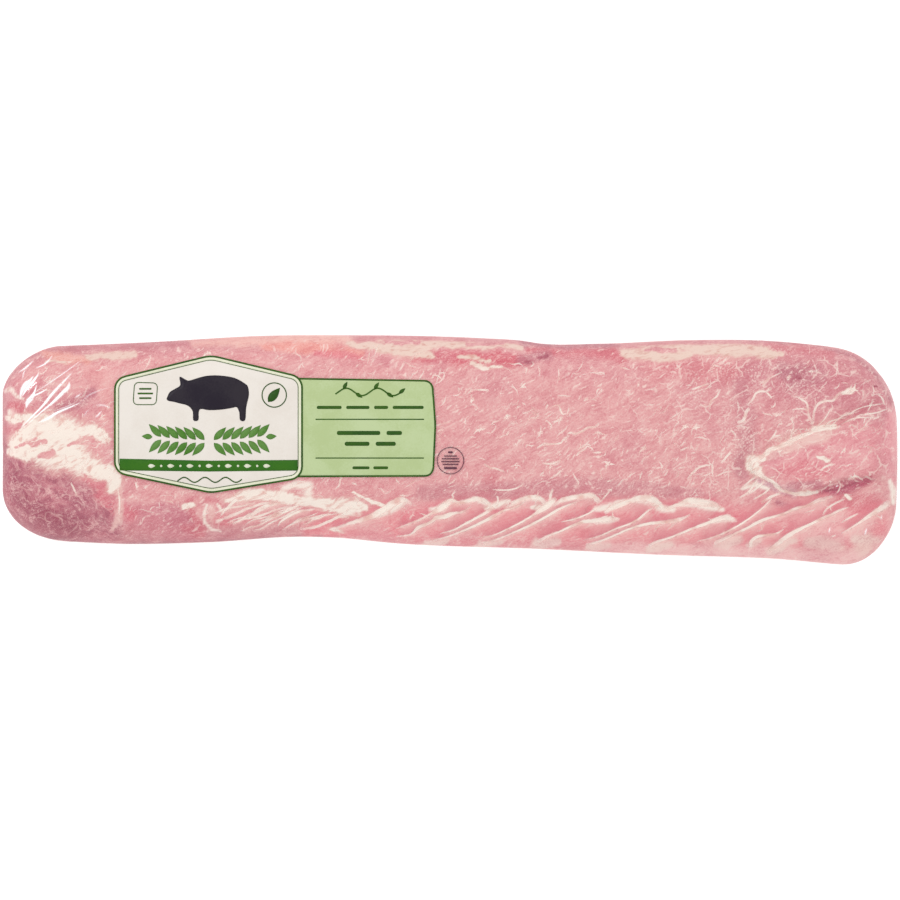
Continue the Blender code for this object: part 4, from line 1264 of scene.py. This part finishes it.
def paint_meat(obj, points):
    """Gives the meat its colour and its fields of fat and marbling, one value at each point."""
    x, y, z = points.T
    drift = FLANK_DRIFT * np.maximum(DRIFT_FROM - z, 0.0) * (1.0 + ripples(x, z, DRIFT_WAVES))
    wx = x + drift + ripples(x, y, STRAY_ALONG)
    wy = y + ripples(x, y, STRAY_ACROSS)
    face = ramp(z, *FACE_FROM)
    band = finger_band(x, y)
    lean_face = (1.0 - band) * face
    crumpled = ramp(crumple_field(wx, wy), *CRUMPLE_FROM) * face
    off_tongue = 1.0 - ramp(tongue_inside(x, y), *TONGUE_FROM)
    # Painted shade along the outline: strongest at the left end, less on the chine edge, least elsewhere
    rim_shade_strength = np.maximum(ramp(-x, *LEFT_FROM), CHINE_RIM_SHADE * ramp(y, *CHINE_FROM))
    rim_shade_strength = LEAST_RIM_SHADE + (1.0 - LEAST_RIM_SHADE) * rim_shade_strength
    holes = painted(wx, wy, FAT_HOLES)
    fat = painted(wx, wy, FAT_STROKES)
    fat = np.where(holes > HOLE_FROM, np.minimum(fat, -HOLE_DEPTH * holes), fat)
    specked = ramp(x, *SPECKS_FROM) * (1.0 - ramp(x, *SPECKS_TO))
    fields = {
        "fat": fat * face + side_fat(x, z) * (1.0 - face),
        "pale": painted(x, y, PALE_STROKES),
        # dark spots, and the painted shadow under the tongue
        "dark": (painted(wx, wy, DARK_AND_SHADOW_STROKES) + 1.0) * face - 1.0,
        "rough": crumpled,
        "marble": (lean_face * MARBLE_IN_LEAN + MARBLE_IN_STRIPS * band) * (1.0 - MARBLE_LOST * crumpled),
        "net": lean_face * ramp(x, *NET_FROM),
        "specks": lean_face * off_tongue * specked * SPECKS,
        # warmer fat with painted shade along the chine edge
        "tinted": ramp(y, *TINT_AND_SHADE_FROM),
        # painted shade on the rounded edge
        "rim": np.exp(-(((z - FLANK_TOP) / RIM_SHADE_HEIGHT) ** 2)) * rim_shade_strength,
    }
    # painted light and shade along the strips' edges
    for name, values in edge_fields(x, y).items():
        fields[name] = values * face
    fields["deep"] *= EDGE_SHADE_OFF_STRIPS + (1.0 - EDGE_SHADE_OFF_STRIPS) * band
    for name, values in fields.items():
        give_field(obj, name, values)
    under = ramp(z + ripples(x, 2.0 * z, UNDER_WAVES), *UNDER_FROM)
    ground = ground_colour(wx, wy, ramp(z, *EDGE_FROM) * rim_shade_strength, under)
    colours = np.concatenate([ground, np.ones((len(x), 1))], axis=1)
    attribute = obj.data.attributes.new("ground", "FLOAT_COLOR", "POINT")
    attribute.data.foreach_set("color", colours.astype(np.float32).ravel())


def make_meat():
    """The meat. Gives its surface too, for the seams of fat that lie on it."""
    points, faces = loin_shell(meat_relief, *MEAT_MESH)
    x, y, z = points.T
    rough = ramp(crumple_field(x, y), *CRUMPLE_FROM) * (1.0 + ripples(x, y, CRUMPLE_LUMPS))
    sunk = MEAT_DEPTH + ripples(x, y, MEAT_DEPTH_WAVES) + CRUMPLE_DEPTH * rough
    sunk *= FLANK_DEPTH + (1.0 - FLANK_DEPTH) * ramp(z, *FULL_DEPTH_FROM)
    points = points - outward(points, faces) * sunk[:, None]
    obj = add_mesh("meat", points, faces, meat_material())
    paint_meat(obj, points)
    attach(obj, "root")
    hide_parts("packed_loin")
    return BVHTree.FromPolygons(points.tolist(), faces)


def ribbon(path, shares):
    """Plan points across a path of (x, y, half-width), at the given shares of its half-width."""
    path = smooth_path(path, 6)
    run = np.gradient(path[:, :2], axis=0)
    run /= np.linalg.norm(run, axis=1)[:, None]
    across = np.stack([-run[:, 1], run[:, 0]], 1) * path[:, 2:]
    return path[:, None, :2] + across[:, None, :] * np.array(shares)[None, :, None]


def streaks_in_lean(rng):
    """Paths of the short streaks of fat, each with a kink or two and some with a side branch."""
    from_end, from_edge = STREAK_MARGINS
    paths = []
    while len(paths) < STREAK_COUNT:
        x = rng.uniform(-HALF_LENGTH + from_end, HALF_LENGTH - from_end)
        rib, chine = long_edges(np.array(x))
        y = rng.uniform(rib + from_edge, chine - from_edge)
        under_label = LABEL_LEFT < x < LABEL_RIGHT and LABEL_FOOT < y < LABEL_TOP
        crowded = rolling(x, y, *CROWDS) + rng.uniform(-CROWD_SCATTER, CROWD_SCATTER)
        in_strips = finger_band(np.array(x), np.array(y)) > BAND_BORDER
        left_out = under_label or crumple_field(x, y) > 0 or crowded < CROWD_LEAST
        if left_out or (in_strips and rng.random() < BAND_SKIPS):
            continue
        turn = math.radians(FIBRE_TURN + rng.normal(0.0, STREAK_SPREAD))
        length = rng.uniform(*STREAK_LENGTH) * rng.uniform(*STREAK_SHORTENED)
        width = rng.uniform(*STREAK_HALF_WIDTH)
        path = [(x, y, STREAK_TAPER[0] * width)]
        for share in STREAK_TAPER[1:]:
            turn += math.radians(rng.normal(0.0, STREAK_KINK))
            x, y = x + math.cos(turn) * length / 3, y + math.sin(turn) * length / 3
            path.append((x, y, share * width))
        paths.append(path)
        if rng.random() < BRANCH_CHANCE:
            bx, by, bw = path[rng.integers(1, 3)]
            turn += math.radians(rng.choice(BRANCH_TURNS))
            reach = BRANCH_REACH * length
            ex, ey = bx + math.cos(turn) * reach, by + math.sin(turn) * reach
            places = (bx, by), ((bx + ex) / 2, (by + ey) / 2 + BRANCH_BEND), (ex, ey)
            paths.append([(*place, share * bw) for place, share in zip(places, BRANCH_TAPER)])
    return paths


def star_rays(rng):
    """Paths of the stars' rays, thick at the middle of a star and kinked once on their way out."""
    paths = []
    for x, y, reach in STARS:
        for number in range(RAYS):
            turn = 2 * math.pi * (number + rng.uniform(-RAY_SPREAD, RAY_SPREAD)) / RAYS
            out = reach * rng.uniform(*RAY_LENGTH) * (1.0 + STAR_STRETCH * math.cos(2 * turn - STAR_TURN))
            step = out / (1.0 + STAR_STRETCH) / 2
            path = [(x, y)]
            for way in (turn, turn + rng.uniform(-RAY_BEND, RAY_BEND)):
                path.append((path[-1][0] + step * math.cos(way), path[-1][1] + step * math.sin(way)))
            paths.append([(*place, width) for place, width in zip(path, RAY_HALF_WIDTHS)])
    return paths


def height_of(surface, x, y):
    """Height of the meat at a plan point. A ray that slips between two faces takes the nearest one."""
    place = surface.ray_cast(Vector((x, y, 100.0)), Vector((0.0, 0.0, -1.0)))[0]
    if place is None:
        place = surface.find_nearest(Vector((x, y, CREST_HEIGHT)))[0]
    return place.z


def widened(path, times):
    """The same path with wider strokes."""
    return [(x, y, times * width) for x, y, width in path]


def make_seams(surface):
    """Seams along the strips' edges, veins and streaks, as thin strips laid on the meat."""
    edge_strength, edge_width = EDGE_SEAMS
    vein_strength, vein_width = VEIN_SEAMS
    rng = np.random.default_rng(STREAK_SEED)
    seams = [(edge_strength, widened(path, edge_width)) for path in FINGER_EDGES]
    seams += [(FINE_SEAMS, path) for path in fan_strings()]
    seams += [(vein_strength, [(x, y, vein_width * width) for x, y in path]) for width, *path in VEINS]
    seams += [(FINE_SEAMS, path) for path in star_rays(rng)]
    seams += [(rng.uniform(*STREAK_STRENGTH), path) for path in streaks_in_lean(rng)]
    points, faces, cover, strength = [], [], [], []
    for share, path in seams:
        wide = np.max(path, axis=0)[2] >= WIDE_SEAM
        across = np.linspace(-SEAM_SPREAD, SEAM_SPREAD, WIDE_SEAM_COLUMNS if wide else SEAM_COLUMNS)
        plan = ribbon(path, across)
        taper = np.sin(np.linspace(SEAM_END, np.pi - SEAM_END, len(plan))) ** SEAM_TAPER
        faces += quads(len(points) + np.arange(plan[..., 0].size).reshape(plan.shape[:2]))
        points += [(x, y, height_of(surface, x, y) + SEAM_LIFT) for x, y in plan.reshape(-1, 2)]
        cover += (1.0 - np.abs(across) / SEAM_SPREAD).tolist() * len(plan)
        strength += np.repeat(share * taper, len(across)).tolist()
    obj = add_mesh("fat_seams", points, faces, seam_material())
    give_field(obj, "cover", cover)
    give_field(obj, "strength", strength)
    obj.visible_shadow = False
    obj.visible_diffuse = False
    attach(obj, "root")


# Film


# Creases at the ends, where the film is gathered: how much painted white glint they have, then (x, y,
# half-width) points
FILM_CREASES = (
    (1.0, (-278, 33, 0.6), (-276.5, 38.5, 1.1), (-274.3, 42.5, 1.2), (-271.4, 45, 0.7), (-268.9, 48, 0.3)),
    (0.95, (-276.8, 34, 0.4), (-273.2, 40, 0.8), (-268.9, 45, 0.7), (-265.3, 50, 0.5)),
    (1.0, (-273.8, 26.5, 0.3), (-272.9, 30.6, 1.3), (-270.4, 33.8, 1.3), (-268.6, 37, 0.7),
     (-266.8, 42.8, 0.3)),
    (0.8, (-270.5, 34.3, 0.6), (-264.6, 37, 0.5), (-260, 39.5, 0.3)),
    (0.5, (-268.2, 37, 0.4), (-259.6, 42.8, 0.45), (-248, 50.8, 0.45), (-236.5, 59.4, 0.4)),
    (0.95, (-278, 13.5, 0.3), (-270.4, 21.2, 0.45), (-263.2, 28.4, 0.6), (-257.4, 35.6, 0.75),
     (-250.9, 42.8, 0.7), (-243.7, 50.3, 0.5)),
    (0.95, (-273, 16.5, 0.3), (-264.6, 24.1, 0.4), (-256.7, 30.6, 0.65), (-250.2, 37, 1.0),
     (-246.6, 40.7, 1.1), (-245.8, 44.5, 0.3)),
    (0.85, (-266.5, 17.3, 0.4), (-259.6, 20.5, 0.9), (-253.8, 24.1, 0.75), (-245.2, 27.7, 0.5),
     (-238, 31, 0.3)),
    (0.3, (-239, 30.5, 0.4), (-231.5, 36.4, 0.6), (-219.2, 40.7, 0.4)),
    (0.4, (-257.4, 24.8, 0.3), (-248, 27.9, 0.4), (-242.3, 30.6, 0.3)),
    (0.6, (-279.7, 49.7, 0.4), (-274, 53.6, 0.6), (-268.9, 58.3, 0.4)),
    (0.45, (-276.1, 45.5, 0.3), (-275.8, 49.3, 0.5), (-274, 52.6, 0.3)),
    (0.6, (-268.6, 52.6, 0.4), (-261.7, 55.8, 0.6), (-256.7, 61.6, 0.4)),
    (0.35, (-229.3, 29.2, 0.5), (-223.6, 28.8, 0.9), (-218.5, 27, 0.4)),
    (0.3, (-237.2, 20.5, 0.4), (-235.1, 24.1, 0.7), (-232.9, 26.3, 0.4)),
    (0.5, (-229.4, 20.7, 0.3), (-226.9, 23, 0.6), (-224.5, 25.6, 0.3)),
    (0.5, (-242.6, 33.4, 0.3), (-240.3, 35, 0.6), (-238, 36.6, 0.3)),
    (0.5, (246, -49.5, 0.3), (245.6, -51.8, 0.6), (245, -54, 0.3)),
    (0.5, (270.8, -50, 0.3), (270.2, -52.5, 0.7), (269.6, -55.5, 0.3)),
    (0.4, (280.4, -41.5, 0.3), (280, -43.5, 0.6), (279.6, -45.8, 0.3)),
    (0.4, (251, -22, 0.3), (250, -23.3, 0.6), (249, -24.2, 0.3)),
)
CREASE_HEIGHT = 0.35
CREASE_FOOT = 0.08  # how far their borders start under the film
CREASE_SPREAD = 1.6  # their mesh reaches this many half-widths out
CREASE_COLUMNS = 5


def film_height(x, y):
    """Height of the film over a plan point."""
    return top_height(x, y, film_relief)


def make_film():
    """The clear film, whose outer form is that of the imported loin."""
    points, faces = loin_shell(film_relief, *FILM_MESH)
    film = add_mesh("film", points, faces, film_material())
    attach(film, "root")
    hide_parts("packed_loin")


def make_creases():
    """Low folds of gathered film, raised over the film's own surface, with painted white glints along them.
    """
    across = np.linspace(-CREASE_SPREAD, CREASE_SPREAD, CREASE_COLUMNS)
    points, faces, white = [], [], []
    for glint_share, *path in FILM_CREASES:
        plan = ribbon(path, across)
        x, y = plan[..., 0], plan[..., 1]
        z = film_height(x, y) - CREASE_FOOT + CREASE_HEIGHT * np.exp(-(across**2))
        taper = np.sin(np.linspace(0.0, np.pi, len(plan))) ** 0.5
        faces += quads(len(points) + np.arange(x.size).reshape(x.shape))
        points += np.stack([bow_right_end(x, y), y, z], -1).reshape(-1, 3).tolist()
        white += (glint_share * taper[:, None] * (1.0 - np.abs(across) / CREASE_SPREAD)).ravel().tolist()
    obj = add_mesh("film_creases", points, faces, crease_glint_material())
    give_field(obj, "white", white)
    obj.visible_shadow = False
    obj.visible_diffuse = False
    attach(obj, "root")


# Print on the film

INK_THICKNESS = 0.04
PANEL_LEVEL = 0.12  # above the film
PANEL_PRINT_LEVEL = 0.19
BADGE_LEVEL = 0.28
BADGE_RIM_LEVEL = 0.34
BADGE_PRINT_LEVEL = 0.40
BAND_PRINT_LEVEL = 0.46

# Inks: their colour, and that of their clouds
INKS = {
    "panel": ((186, 203, 150), (196, 212, 164)),
    "badge": ((238, 231, 223), (233, 225, 216)),
    "rim": ((238, 238, 214), (230, 231, 204)),
    "dark_green": ((70, 104, 24), (60, 92, 18)),
    "leaf": ((106, 146, 80), (84, 130, 58)),
    "green": ((70, 117, 28), (61, 110, 20)),
    "pale": ((232, 234, 214), (224, 226, 200)),
    "navy": ((62, 58, 64), (54, 50, 58)),
    "stamp": ((100, 66, 80), (114, 78, 90)),
}

# Corners of the badge and of the panel that runs under it, as (x, y, rounding)
BADGE = ((-217, -15, 9), (-154.5, -28.1, 20), (-95, -18.4, 9), (-95, 47.4, 9), (-154.6, 61.7, 20),
         (-217, 46.4, 9))
PANEL = ((-102, -17.6, 1), (-10.5, -17.3, 6), (-8.9, 16, 60), (-11, 45.2, 6), (-102, 46.7, 1))
BADGE_CENTRE_X = -155.5

# Outlines, as two distances inside a shape's edge
PANEL_OUTLINE = (0.0, 1.1)
BADGE_OUTLINE = (0.0, 1.15)
BADGE_RIM = (0.3, 2.9)
BADGE_INNER_LINE = (2.9, 3.3)

# On the panel: two rules, a twig with leaves on its wavy stem, and bars as (left, right, y, height)
RULE_HALF_WIDTH, TWIG_HALF_WIDTH, WAVE_HALF_WIDTH = 0.37, 0.5, 0.4
RULES_X, RULES_Y = (-86.8, -52, -16.8), (19.8, -5.2)
TWIG_SPAN = (-74, -30, 2.5)
TWIG_WAVE = (37.5, 2.4, 72, 0.31)  # its middle line's y, how far it swings, its shift and its pace
TWIG_LEAF = (5.5, 2.4)
TWIG_LEAVES = ((-69, 60), (-61, -35), (-49, 55), (-41, -35), (-33, 40))  # x and turn in degrees
PANEL_BARS = ((-86, -70, 27.5, 2), (-67, -52, 27.5, 2), (-49, -40, 27.5, 2), (-37, -17, 27.5, 2),
              (-73, -45, 11, 2.6), (-41, -31, 11, 2.6), (-68, -52, 4, 2.6), (-48, -35, 4, 2.6),
              (-63, -52, -11.5, 1.8), (-49.5, -40, -11.5, 1.8))

# On the badge: a box with bars, a ring with a leaf, a wavy line, a garland, and a band with marks
BOX = ((-205, 29, 3), (-189.5, 29, 3), (-188.5, 43.5, 3), (-204, 44, 3))
BOX_LINE = (0.0, 0.55)
BOX_BARS = ((-200.8, -192.8, 39.5, 1.1), (-201.8, -191.8, 36.5, 1.1), (-200.8, -192.8, 33.5, 1.1))
RING_X, RING_Y, RING_RADII = -113.5, 35.5, (8.2, 7.5)
RING_LEAF = (-117.5, 31, 12, 5.5, 50)
BADGE_WAVE_SPAN = (-176, -134, 1.6)
BADGE_WAVE = (-19.3, 1.6, 175, 0.47)
GARLAND_SPAN = (3.0, 40.0, 5.6)  # distances from the middle at which its leaves grow
GARLAND_Y, GARLAND_CURVE = 5.5, 0.0022
GARLAND_LEAF, GARLAND_LEAF_TURN = (11.5, 4.4), 46
GARLAND_TIP, GARLAND_TIP_TURN = (7, 3.6), 4
BAND = ((-213.4, -13.2, 0.3), (-155.5, -13.9, 40), (-98.4, -13.3, 0.3), (-98.4, -6.4, 0.3),
        (-155.5, -6.9, 0.3), (-213.4, -5.6, 0.3))
MARKS_Y, MARK_SPACING, MARKS_EACH_SIDE = -10.3, 6.2, 6
DOT_RADIUS, DOT_CORNERS = 0.8, 12
MARK_LEAF = (4.8, 2.6)

# The stamp's ring, and its bars as (y, half-length, height)
STAMP_X, STAMP_Y, STAMP_RADII = 0.3, -6.9, (8.8, 8.3)
STAMP_BARS = ((5.4, 1.6, 1.2), (3, 4.2, 0.7), (1.2, 5.6, 0.7), (-0.6, 6, 0.7), (-2.4, 5.2, 0.7),
              (-4.8, 4.2, 1.4))

# A plain hog seen from its side, as shares of its length and its height
HOG = ((0.0, 0.42), (0.03, 0.5), (0.1, 0.56), (0.155, 0.62), (0.145, 0.76), (0.23, 0.7), (0.28, 0.7),
       (0.45, 0.77), (0.62, 0.78), (0.8, 0.74), (0.93, 0.64), (0.965, 0.58), (0.975, 0.45),
       (0.955, 0.32), (0.94, 0.2), (0.93, 0.02), (0.87, 0.02), (0.86, 0.15), (0.83, 0.24),
       (0.78, 0.23), (0.65, 0.2), (0.5, 0.19), (0.4, 0.21), (0.375, 0.15), (0.37, 0.02), (0.31, 0.02),
       (0.305, 0.16), (0.27, 0.24), (0.22, 0.28), (0.16, 0.3), (0.08, 0.33), (0.01, 0.35),
       (-0.01, 0.385))
HOG_LENGTH, HOG_HEIGHT, HOG_FOOT_Y = 54, 38, 18.5


def outline(corners, inset=0.0, step=2.2):
    """Points round a shape with rounded corners given counter-clockwise, moved in by inset."""
    plan = np.array(corners, float)
    stops = []
    for before, corner, after in zip(np.roll(plan, 1, axis=0), plan, np.roll(plan, -1, axis=0)):
        back, on = before[:2] - corner[:2], after[:2] - corner[:2]
        back, on = back / np.linalg.norm(back), on / np.linalg.norm(on)
        half = math.acos(float(back @ on)) / 2
        middle = (back + on) / np.linalg.norm(back + on)
        centre = corner[:2] + middle * corner[2] / math.sin(half)
        first = corner[:2] + back * corner[2] / math.tan(half) - centre
        last = corner[:2] + on * corner[2] / math.tan(half) - centre
        start = math.atan2(first[1], first[0])
        turn = (math.atan2(last[1], last[0]) - start) % (2 * math.pi)
        count = max(2, math.ceil(corner[2] * turn / step))
        for angle in start + np.linspace(0.0, turn, count + 1):
            out = np.array((math.cos(angle), math.sin(angle)))
            stops.append((centre + out * corner[2], out))
    points = []
    for (place, out), (next_place, _) in zip(stops, stops[1:] + stops[:1]):
        count = max(1, math.ceil(np.linalg.norm(next_place - place) / step))
        for share in np.arange(count) / count:
            points.append(place + (next_place - place) * share - out * inset)
    return np.array(points)


def sway(x, y, swing, shift, pace):
    """Height of a wavy line at x."""
    return y + swing * math.sin((x + shift) * pace)


def circle(x, y, radius, count=48):
    turn = np.linspace(0.0, 2 * np.pi, count, endpoint=False)
    return np.stack([x + radius * np.cos(turn), y + radius * np.sin(turn)], 1)


def closed_curve(points, pieces=3):
    """Smooth closed curve through the points."""
    wrapped = [*points[-2:], *points, *points[:2]]
    return smooth_path(wrapped, pieces)[2 * pieces:-2 * pieces]


def leaf(x, y, length, width, degrees):
    """Outline of a pointed leaf that grows from (x, y)."""
    share = np.linspace(0.0, 1.0, 8)
    half = width / 2 * np.sin(np.pi * share**0.8)
    along = np.concatenate([share, share[-2:0:-1]]) * length
    side = np.concatenate([-half, half[-2:0:-1]])
    turn = math.radians(degrees)
    return np.stack([x + along * math.cos(turn) - side * math.sin(turn),
                     y + along * math.sin(turn) + side * math.cos(turn)], 1)


def bar(left, right, y, height):
    """Outline of a level bar with rounded ends."""
    half = height / 2
    radius = 0.8 * half
    return outline(((left, y - half, radius), (right, y - half, radius), (right, y + half, radius),
                    (left, y + half, radius)))


def lies_inside(places, loop):
    """Which plan points lie inside a closed loop."""
    x, y = places.T
    inside = np.zeros(len(places), bool)
    for (ax, ay), (bx, by) in zip(loop, np.roll(loop, -1, axis=0)):
        if ay != by:
            crossing = ax + (y - ay) * (bx - ax) / (by - ay)
            inside ^= ((ay > y) != (by > y)) & (x < crossing)
    return inside


class Print:
    """One colour of print, gathered from flat shapes that are laid on the film."""

    def __init__(self, name, level, material, slot):
        self.name, self.level, self.material, self.slot = name, level, material, slot
        self.points, self.faces = [], []

    def take(self, plan, faces):
        first = len(self.points)
        heights = film_height(plan[:, 0], plan[:, 1]) + self.level
        self.points += np.column_stack([plan, heights]).tolist()
        self.faces += [[first + number for number in face] for face in faces]

    def fill(self, loop, spacing=2.2):
        """The area inside a closed loop of plan points."""
        low, high = loop.min(axis=0) + 0.5, loop.max(axis=0) - 0.5
        grid = np.meshgrid(np.arange(low[0], high[0], spacing), np.arange(low[1], high[1], spacing))
        places = np.stack(grid, -1).reshape(-1, 2)
        places = places[lies_inside(places, loop)]
        away = np.linalg.norm(places[:, None] - loop[None], axis=2).min(axis=1)
        places = np.concatenate([loop, places[away > 0.5 * spacing]])
        flat = [Vector(place) for place in places.tolist()]
        plan, _, faces = geometry.delaunay_2d_cdt(flat, [], [list(range(len(loop)))], 1, 1e-5)[:3]
        self.take(np.array([tuple(place) for place in plan]), faces)

    def ring(self, outer, inner):
        """The band between two loops with as many points each, both counter-clockwise."""
        count = len(outer)
        faces = [(i, (i + 1) % count, count + (i + 1) % count, count + i) for i in range(count)]
        self.take(np.concatenate([outer, inner]), faces)

    def fill_all(self, loops):
        """The areas inside several loops."""
        for loop in loops:
            self.fill(loop)

    def border(self, corners, insets):
        """The band between two distances inside the edge of a shape with rounded corners."""
        self.ring(*(outline(corners, inset) for inset in insets))

    def line(self, path):
        """A line along a path of (x, y, half-width) points."""
        plan = ribbon(path, (-1.0, 1.0))
        numbers = np.arange(plan.shape[0] * 2).reshape(-1, 2)
        self.take(plan.reshape(-1, 2), quads(numbers))

    def finish(self, *nodes):
        obj = add_mesh(self.name, self.points, self.faces, self.material)
        ink = obj.modifiers.new("thickness", "SOLIDIFY")
        ink.thickness = INK_THICKNESS * MILLIMETRE
        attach(obj, "root")
        if nodes:
            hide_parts(*nodes)


def make_grounds(inks):
    """The panel's and the badge's fields of colour, and the badge's pale rim."""
    panel = Print("panel_ground", PANEL_LEVEL, inks["panel"], "label_green")
    panel.fill(outline(PANEL))
    panel.finish("label_panel")
    badge = Print("badge_ground", BADGE_LEVEL, inks["badge"], "label_cream")
    badge.fill(outline(BADGE))
    badge.finish("label_badge")
    rim = Print("badge_rim", BADGE_RIM_LEVEL, inks["rim"], "label_cream")
    rim.border(BADGE, BADGE_RIM)
    rim.finish()


def make_panel_print(inks):
    """The panel's outline, rules, twig and bars."""
    lines = Print("panel_lines", PANEL_PRINT_LEVEL, inks["dark_green"], "label_green")
    lines.border(PANEL, PANEL_OUTLINE)
    for y in RULES_Y:
        lines.line([(x, y, RULE_HALF_WIDTH) for x in RULES_X])
    lines.line([(x, sway(x, *TWIG_WAVE), TWIG_HALF_WIDTH) for x in np.arange(*TWIG_SPAN)])
    lines.fill_all(leaf(x, sway(x, *TWIG_WAVE), *TWIG_LEAF, degrees) for x, degrees in TWIG_LEAVES)
    lines.fill_all(bar(*form) for form in PANEL_BARS)
    lines.finish()


def make_badge_print(inks):
    """The badge's lines, its garland, its band with marks, and the hog."""
    lines = Print("badge_lines", BADGE_PRINT_LEVEL, inks["dark_green"], "label_green")
    lines.border(BADGE, BADGE_OUTLINE)
    lines.border(BADGE, BADGE_INNER_LINE)
    lines.border(BOX, BOX_LINE)
    lines.fill_all(bar(*form) for form in BOX_BARS)
    lines.ring(*(circle(RING_X, RING_Y, radius) for radius in RING_RADII))
    lines.fill(leaf(*RING_LEAF))
    lines.line([(x, sway(x, *BADGE_WAVE), WAVE_HALF_WIDTH) for x in np.arange(*BADGE_WAVE_SPAN)])
    lines.finish()

    greens = Print("badge_greens", BADGE_PRINT_LEVEL, inks["leaf"], "label_green")
    for side in (-1, 1):
        stem = [(BADGE_CENTRE_X + side * out, GARLAND_Y + GARLAND_CURVE * out**2)
                for out in np.arange(*GARLAND_SPAN)]
        for x, y in stem[:-1]:
            for lean in (GARLAND_LEAF_TURN, -GARLAND_LEAF_TURN):
                greens.fill(leaf(x, y + 0.02 * lean, *GARLAND_LEAF, lean if side > 0 else 180 - lean))
        tip_turn = GARLAND_TIP_TURN if side > 0 else 180 - GARLAND_TIP_TURN
        greens.fill(leaf(*stem[-1], *GARLAND_TIP, tip_turn))
    greens.finish()

    band = Print("badge_band", BADGE_PRINT_LEVEL, inks["green"], "label_green")
    band.fill(outline(BAND))
    band.finish()
    marks = Print("band_marks", BAND_PRINT_LEVEL, inks["pale"], "label_cream")
    for number in range(-MARKS_EACH_SIDE, MARKS_EACH_SIDE + 1):
        x = BADGE_CENTRE_X + MARK_SPACING * number
        if number % 2:
            marks.fill(circle(x, MARKS_Y, DOT_RADIUS, DOT_CORNERS))
        else:
            marks.fill(leaf(x - MARK_LEAF[0] / 2, MARKS_Y, *MARK_LEAF, 0))
    marks.finish()

    figure = Print("badge_figure", BADGE_PRINT_LEVEL, inks["navy"], "label_cream")
    left = BADGE_CENTRE_X - HOG_LENGTH / 2
    hog = [(left + HOG_LENGTH * px, HOG_FOOT_Y + HOG_HEIGHT * py) for px, py in HOG]
    figure.fill(closed_curve(hog)[::-1])
    figure.finish()


def make_stamp(inks):
    """A round ink stamp beside the panel, with plain bars in it."""
    stamp = Print("ink_stamp", PANEL_LEVEL, inks["stamp"], "packed_meat")
    stamp.ring(*(circle(STAMP_X, STAMP_Y, radius) for radius in STAMP_RADII))
    stamp.fill_all(bar(STAMP_X - half, STAMP_X + half, STAMP_Y + y, height) for y, half, height in STAMP_BARS)
    stamp.finish()


def make_print():
    inks = {name: print_material(name + "_ink", *colours) for name, colours in INKS.items()}
    make_grounds(inks)
    make_panel_print(inks)
    make_badge_print(inks)
    make_stamp(inks)


# Studio

# Camera and lamp, in metres, with the sensor's width and the floor's sizes in millimetres
CAMERA_DISTANCE = 10.0
VIEW_WIDTH = 0.5832  # what the picture's width covers at the loin's outline
SENSOR_WIDTH = 36.0
KEY_DIRECTION = (135.0, 45.0)  # azimuth and angle from overhead
KEY_DISTANCE = 3.0
KEY_SIZE = (0.6, 0.6)
KEY_POWER = 16.0
SKY_STRENGTH = 1.05
FLOOR_REACH = 8000.0
FLOOR_DEPTH = 0.2  # just under the loin


def add_key_light():
    """One large lamp above the loin's upper left."""
    lamp = bpy.data.lights.new("key", "AREA")
    lamp.shape = "RECTANGLE"
    lamp.size, lamp.size_y = KEY_SIZE
    lamp.energy = KEY_POWER
    azimuth, from_zenith = (math.radians(angle) for angle in KEY_DIRECTION)
    level = KEY_DISTANCE * math.sin(from_zenith)
    obj = bpy.data.objects.new("key", lamp)
    up = KEY_DISTANCE * math.cos(from_zenith)
    obj.location = (level * math.cos(azimuth), level * math.sin(azimuth), up)
    obj.rotation_euler = (from_zenith, 0.0, azimuth + math.pi / 2)
    bpy.context.scene.collection.objects.link(obj)


def make_studio():
    camera = bpy.data.cameras.new("camera")
    camera.sensor_width = SENSOR_WIDTH
    camera.lens = SENSOR_WIDTH * CAMERA_DISTANCE / VIEW_WIDTH
    camera.clip_end = 10 * CAMERA_DISTANCE
    holder = bpy.data.objects.new("camera", camera)
    holder.location = (0.0, 0.0, CAMERA_DISTANCE + FLANK_TOP * MILLIMETRE)
    bpy.context.scene.collection.objects.link(holder)
    bpy.context.scene.camera = holder

    signs = ((-1, -1), (1, -1), (1, 1), (-1, 1))
    corners = [(x * FLOOR_REACH, y * FLOOR_REACH, -FLOOR_DEPTH) for x, y in signs]
    floor = add_mesh("floor", corners, [(0, 1, 2, 3)], floor_material())

    add_key_light()
    world = bpy.data.worlds.new("studio")
    world.use_nodes = True
    world.node_tree.nodes["Background"].inputs["Color"].default_value = WHITE
    world.node_tree.nodes["Background"].inputs["Strength"].default_value = SKY_STRENGTH
    bpy.context.scene.world = world
    bpy.context.scene.view_settings.view_transform = "Standard"


make_studio()
make_seams(make_meat())
make_film()
make_creases()
make_print()
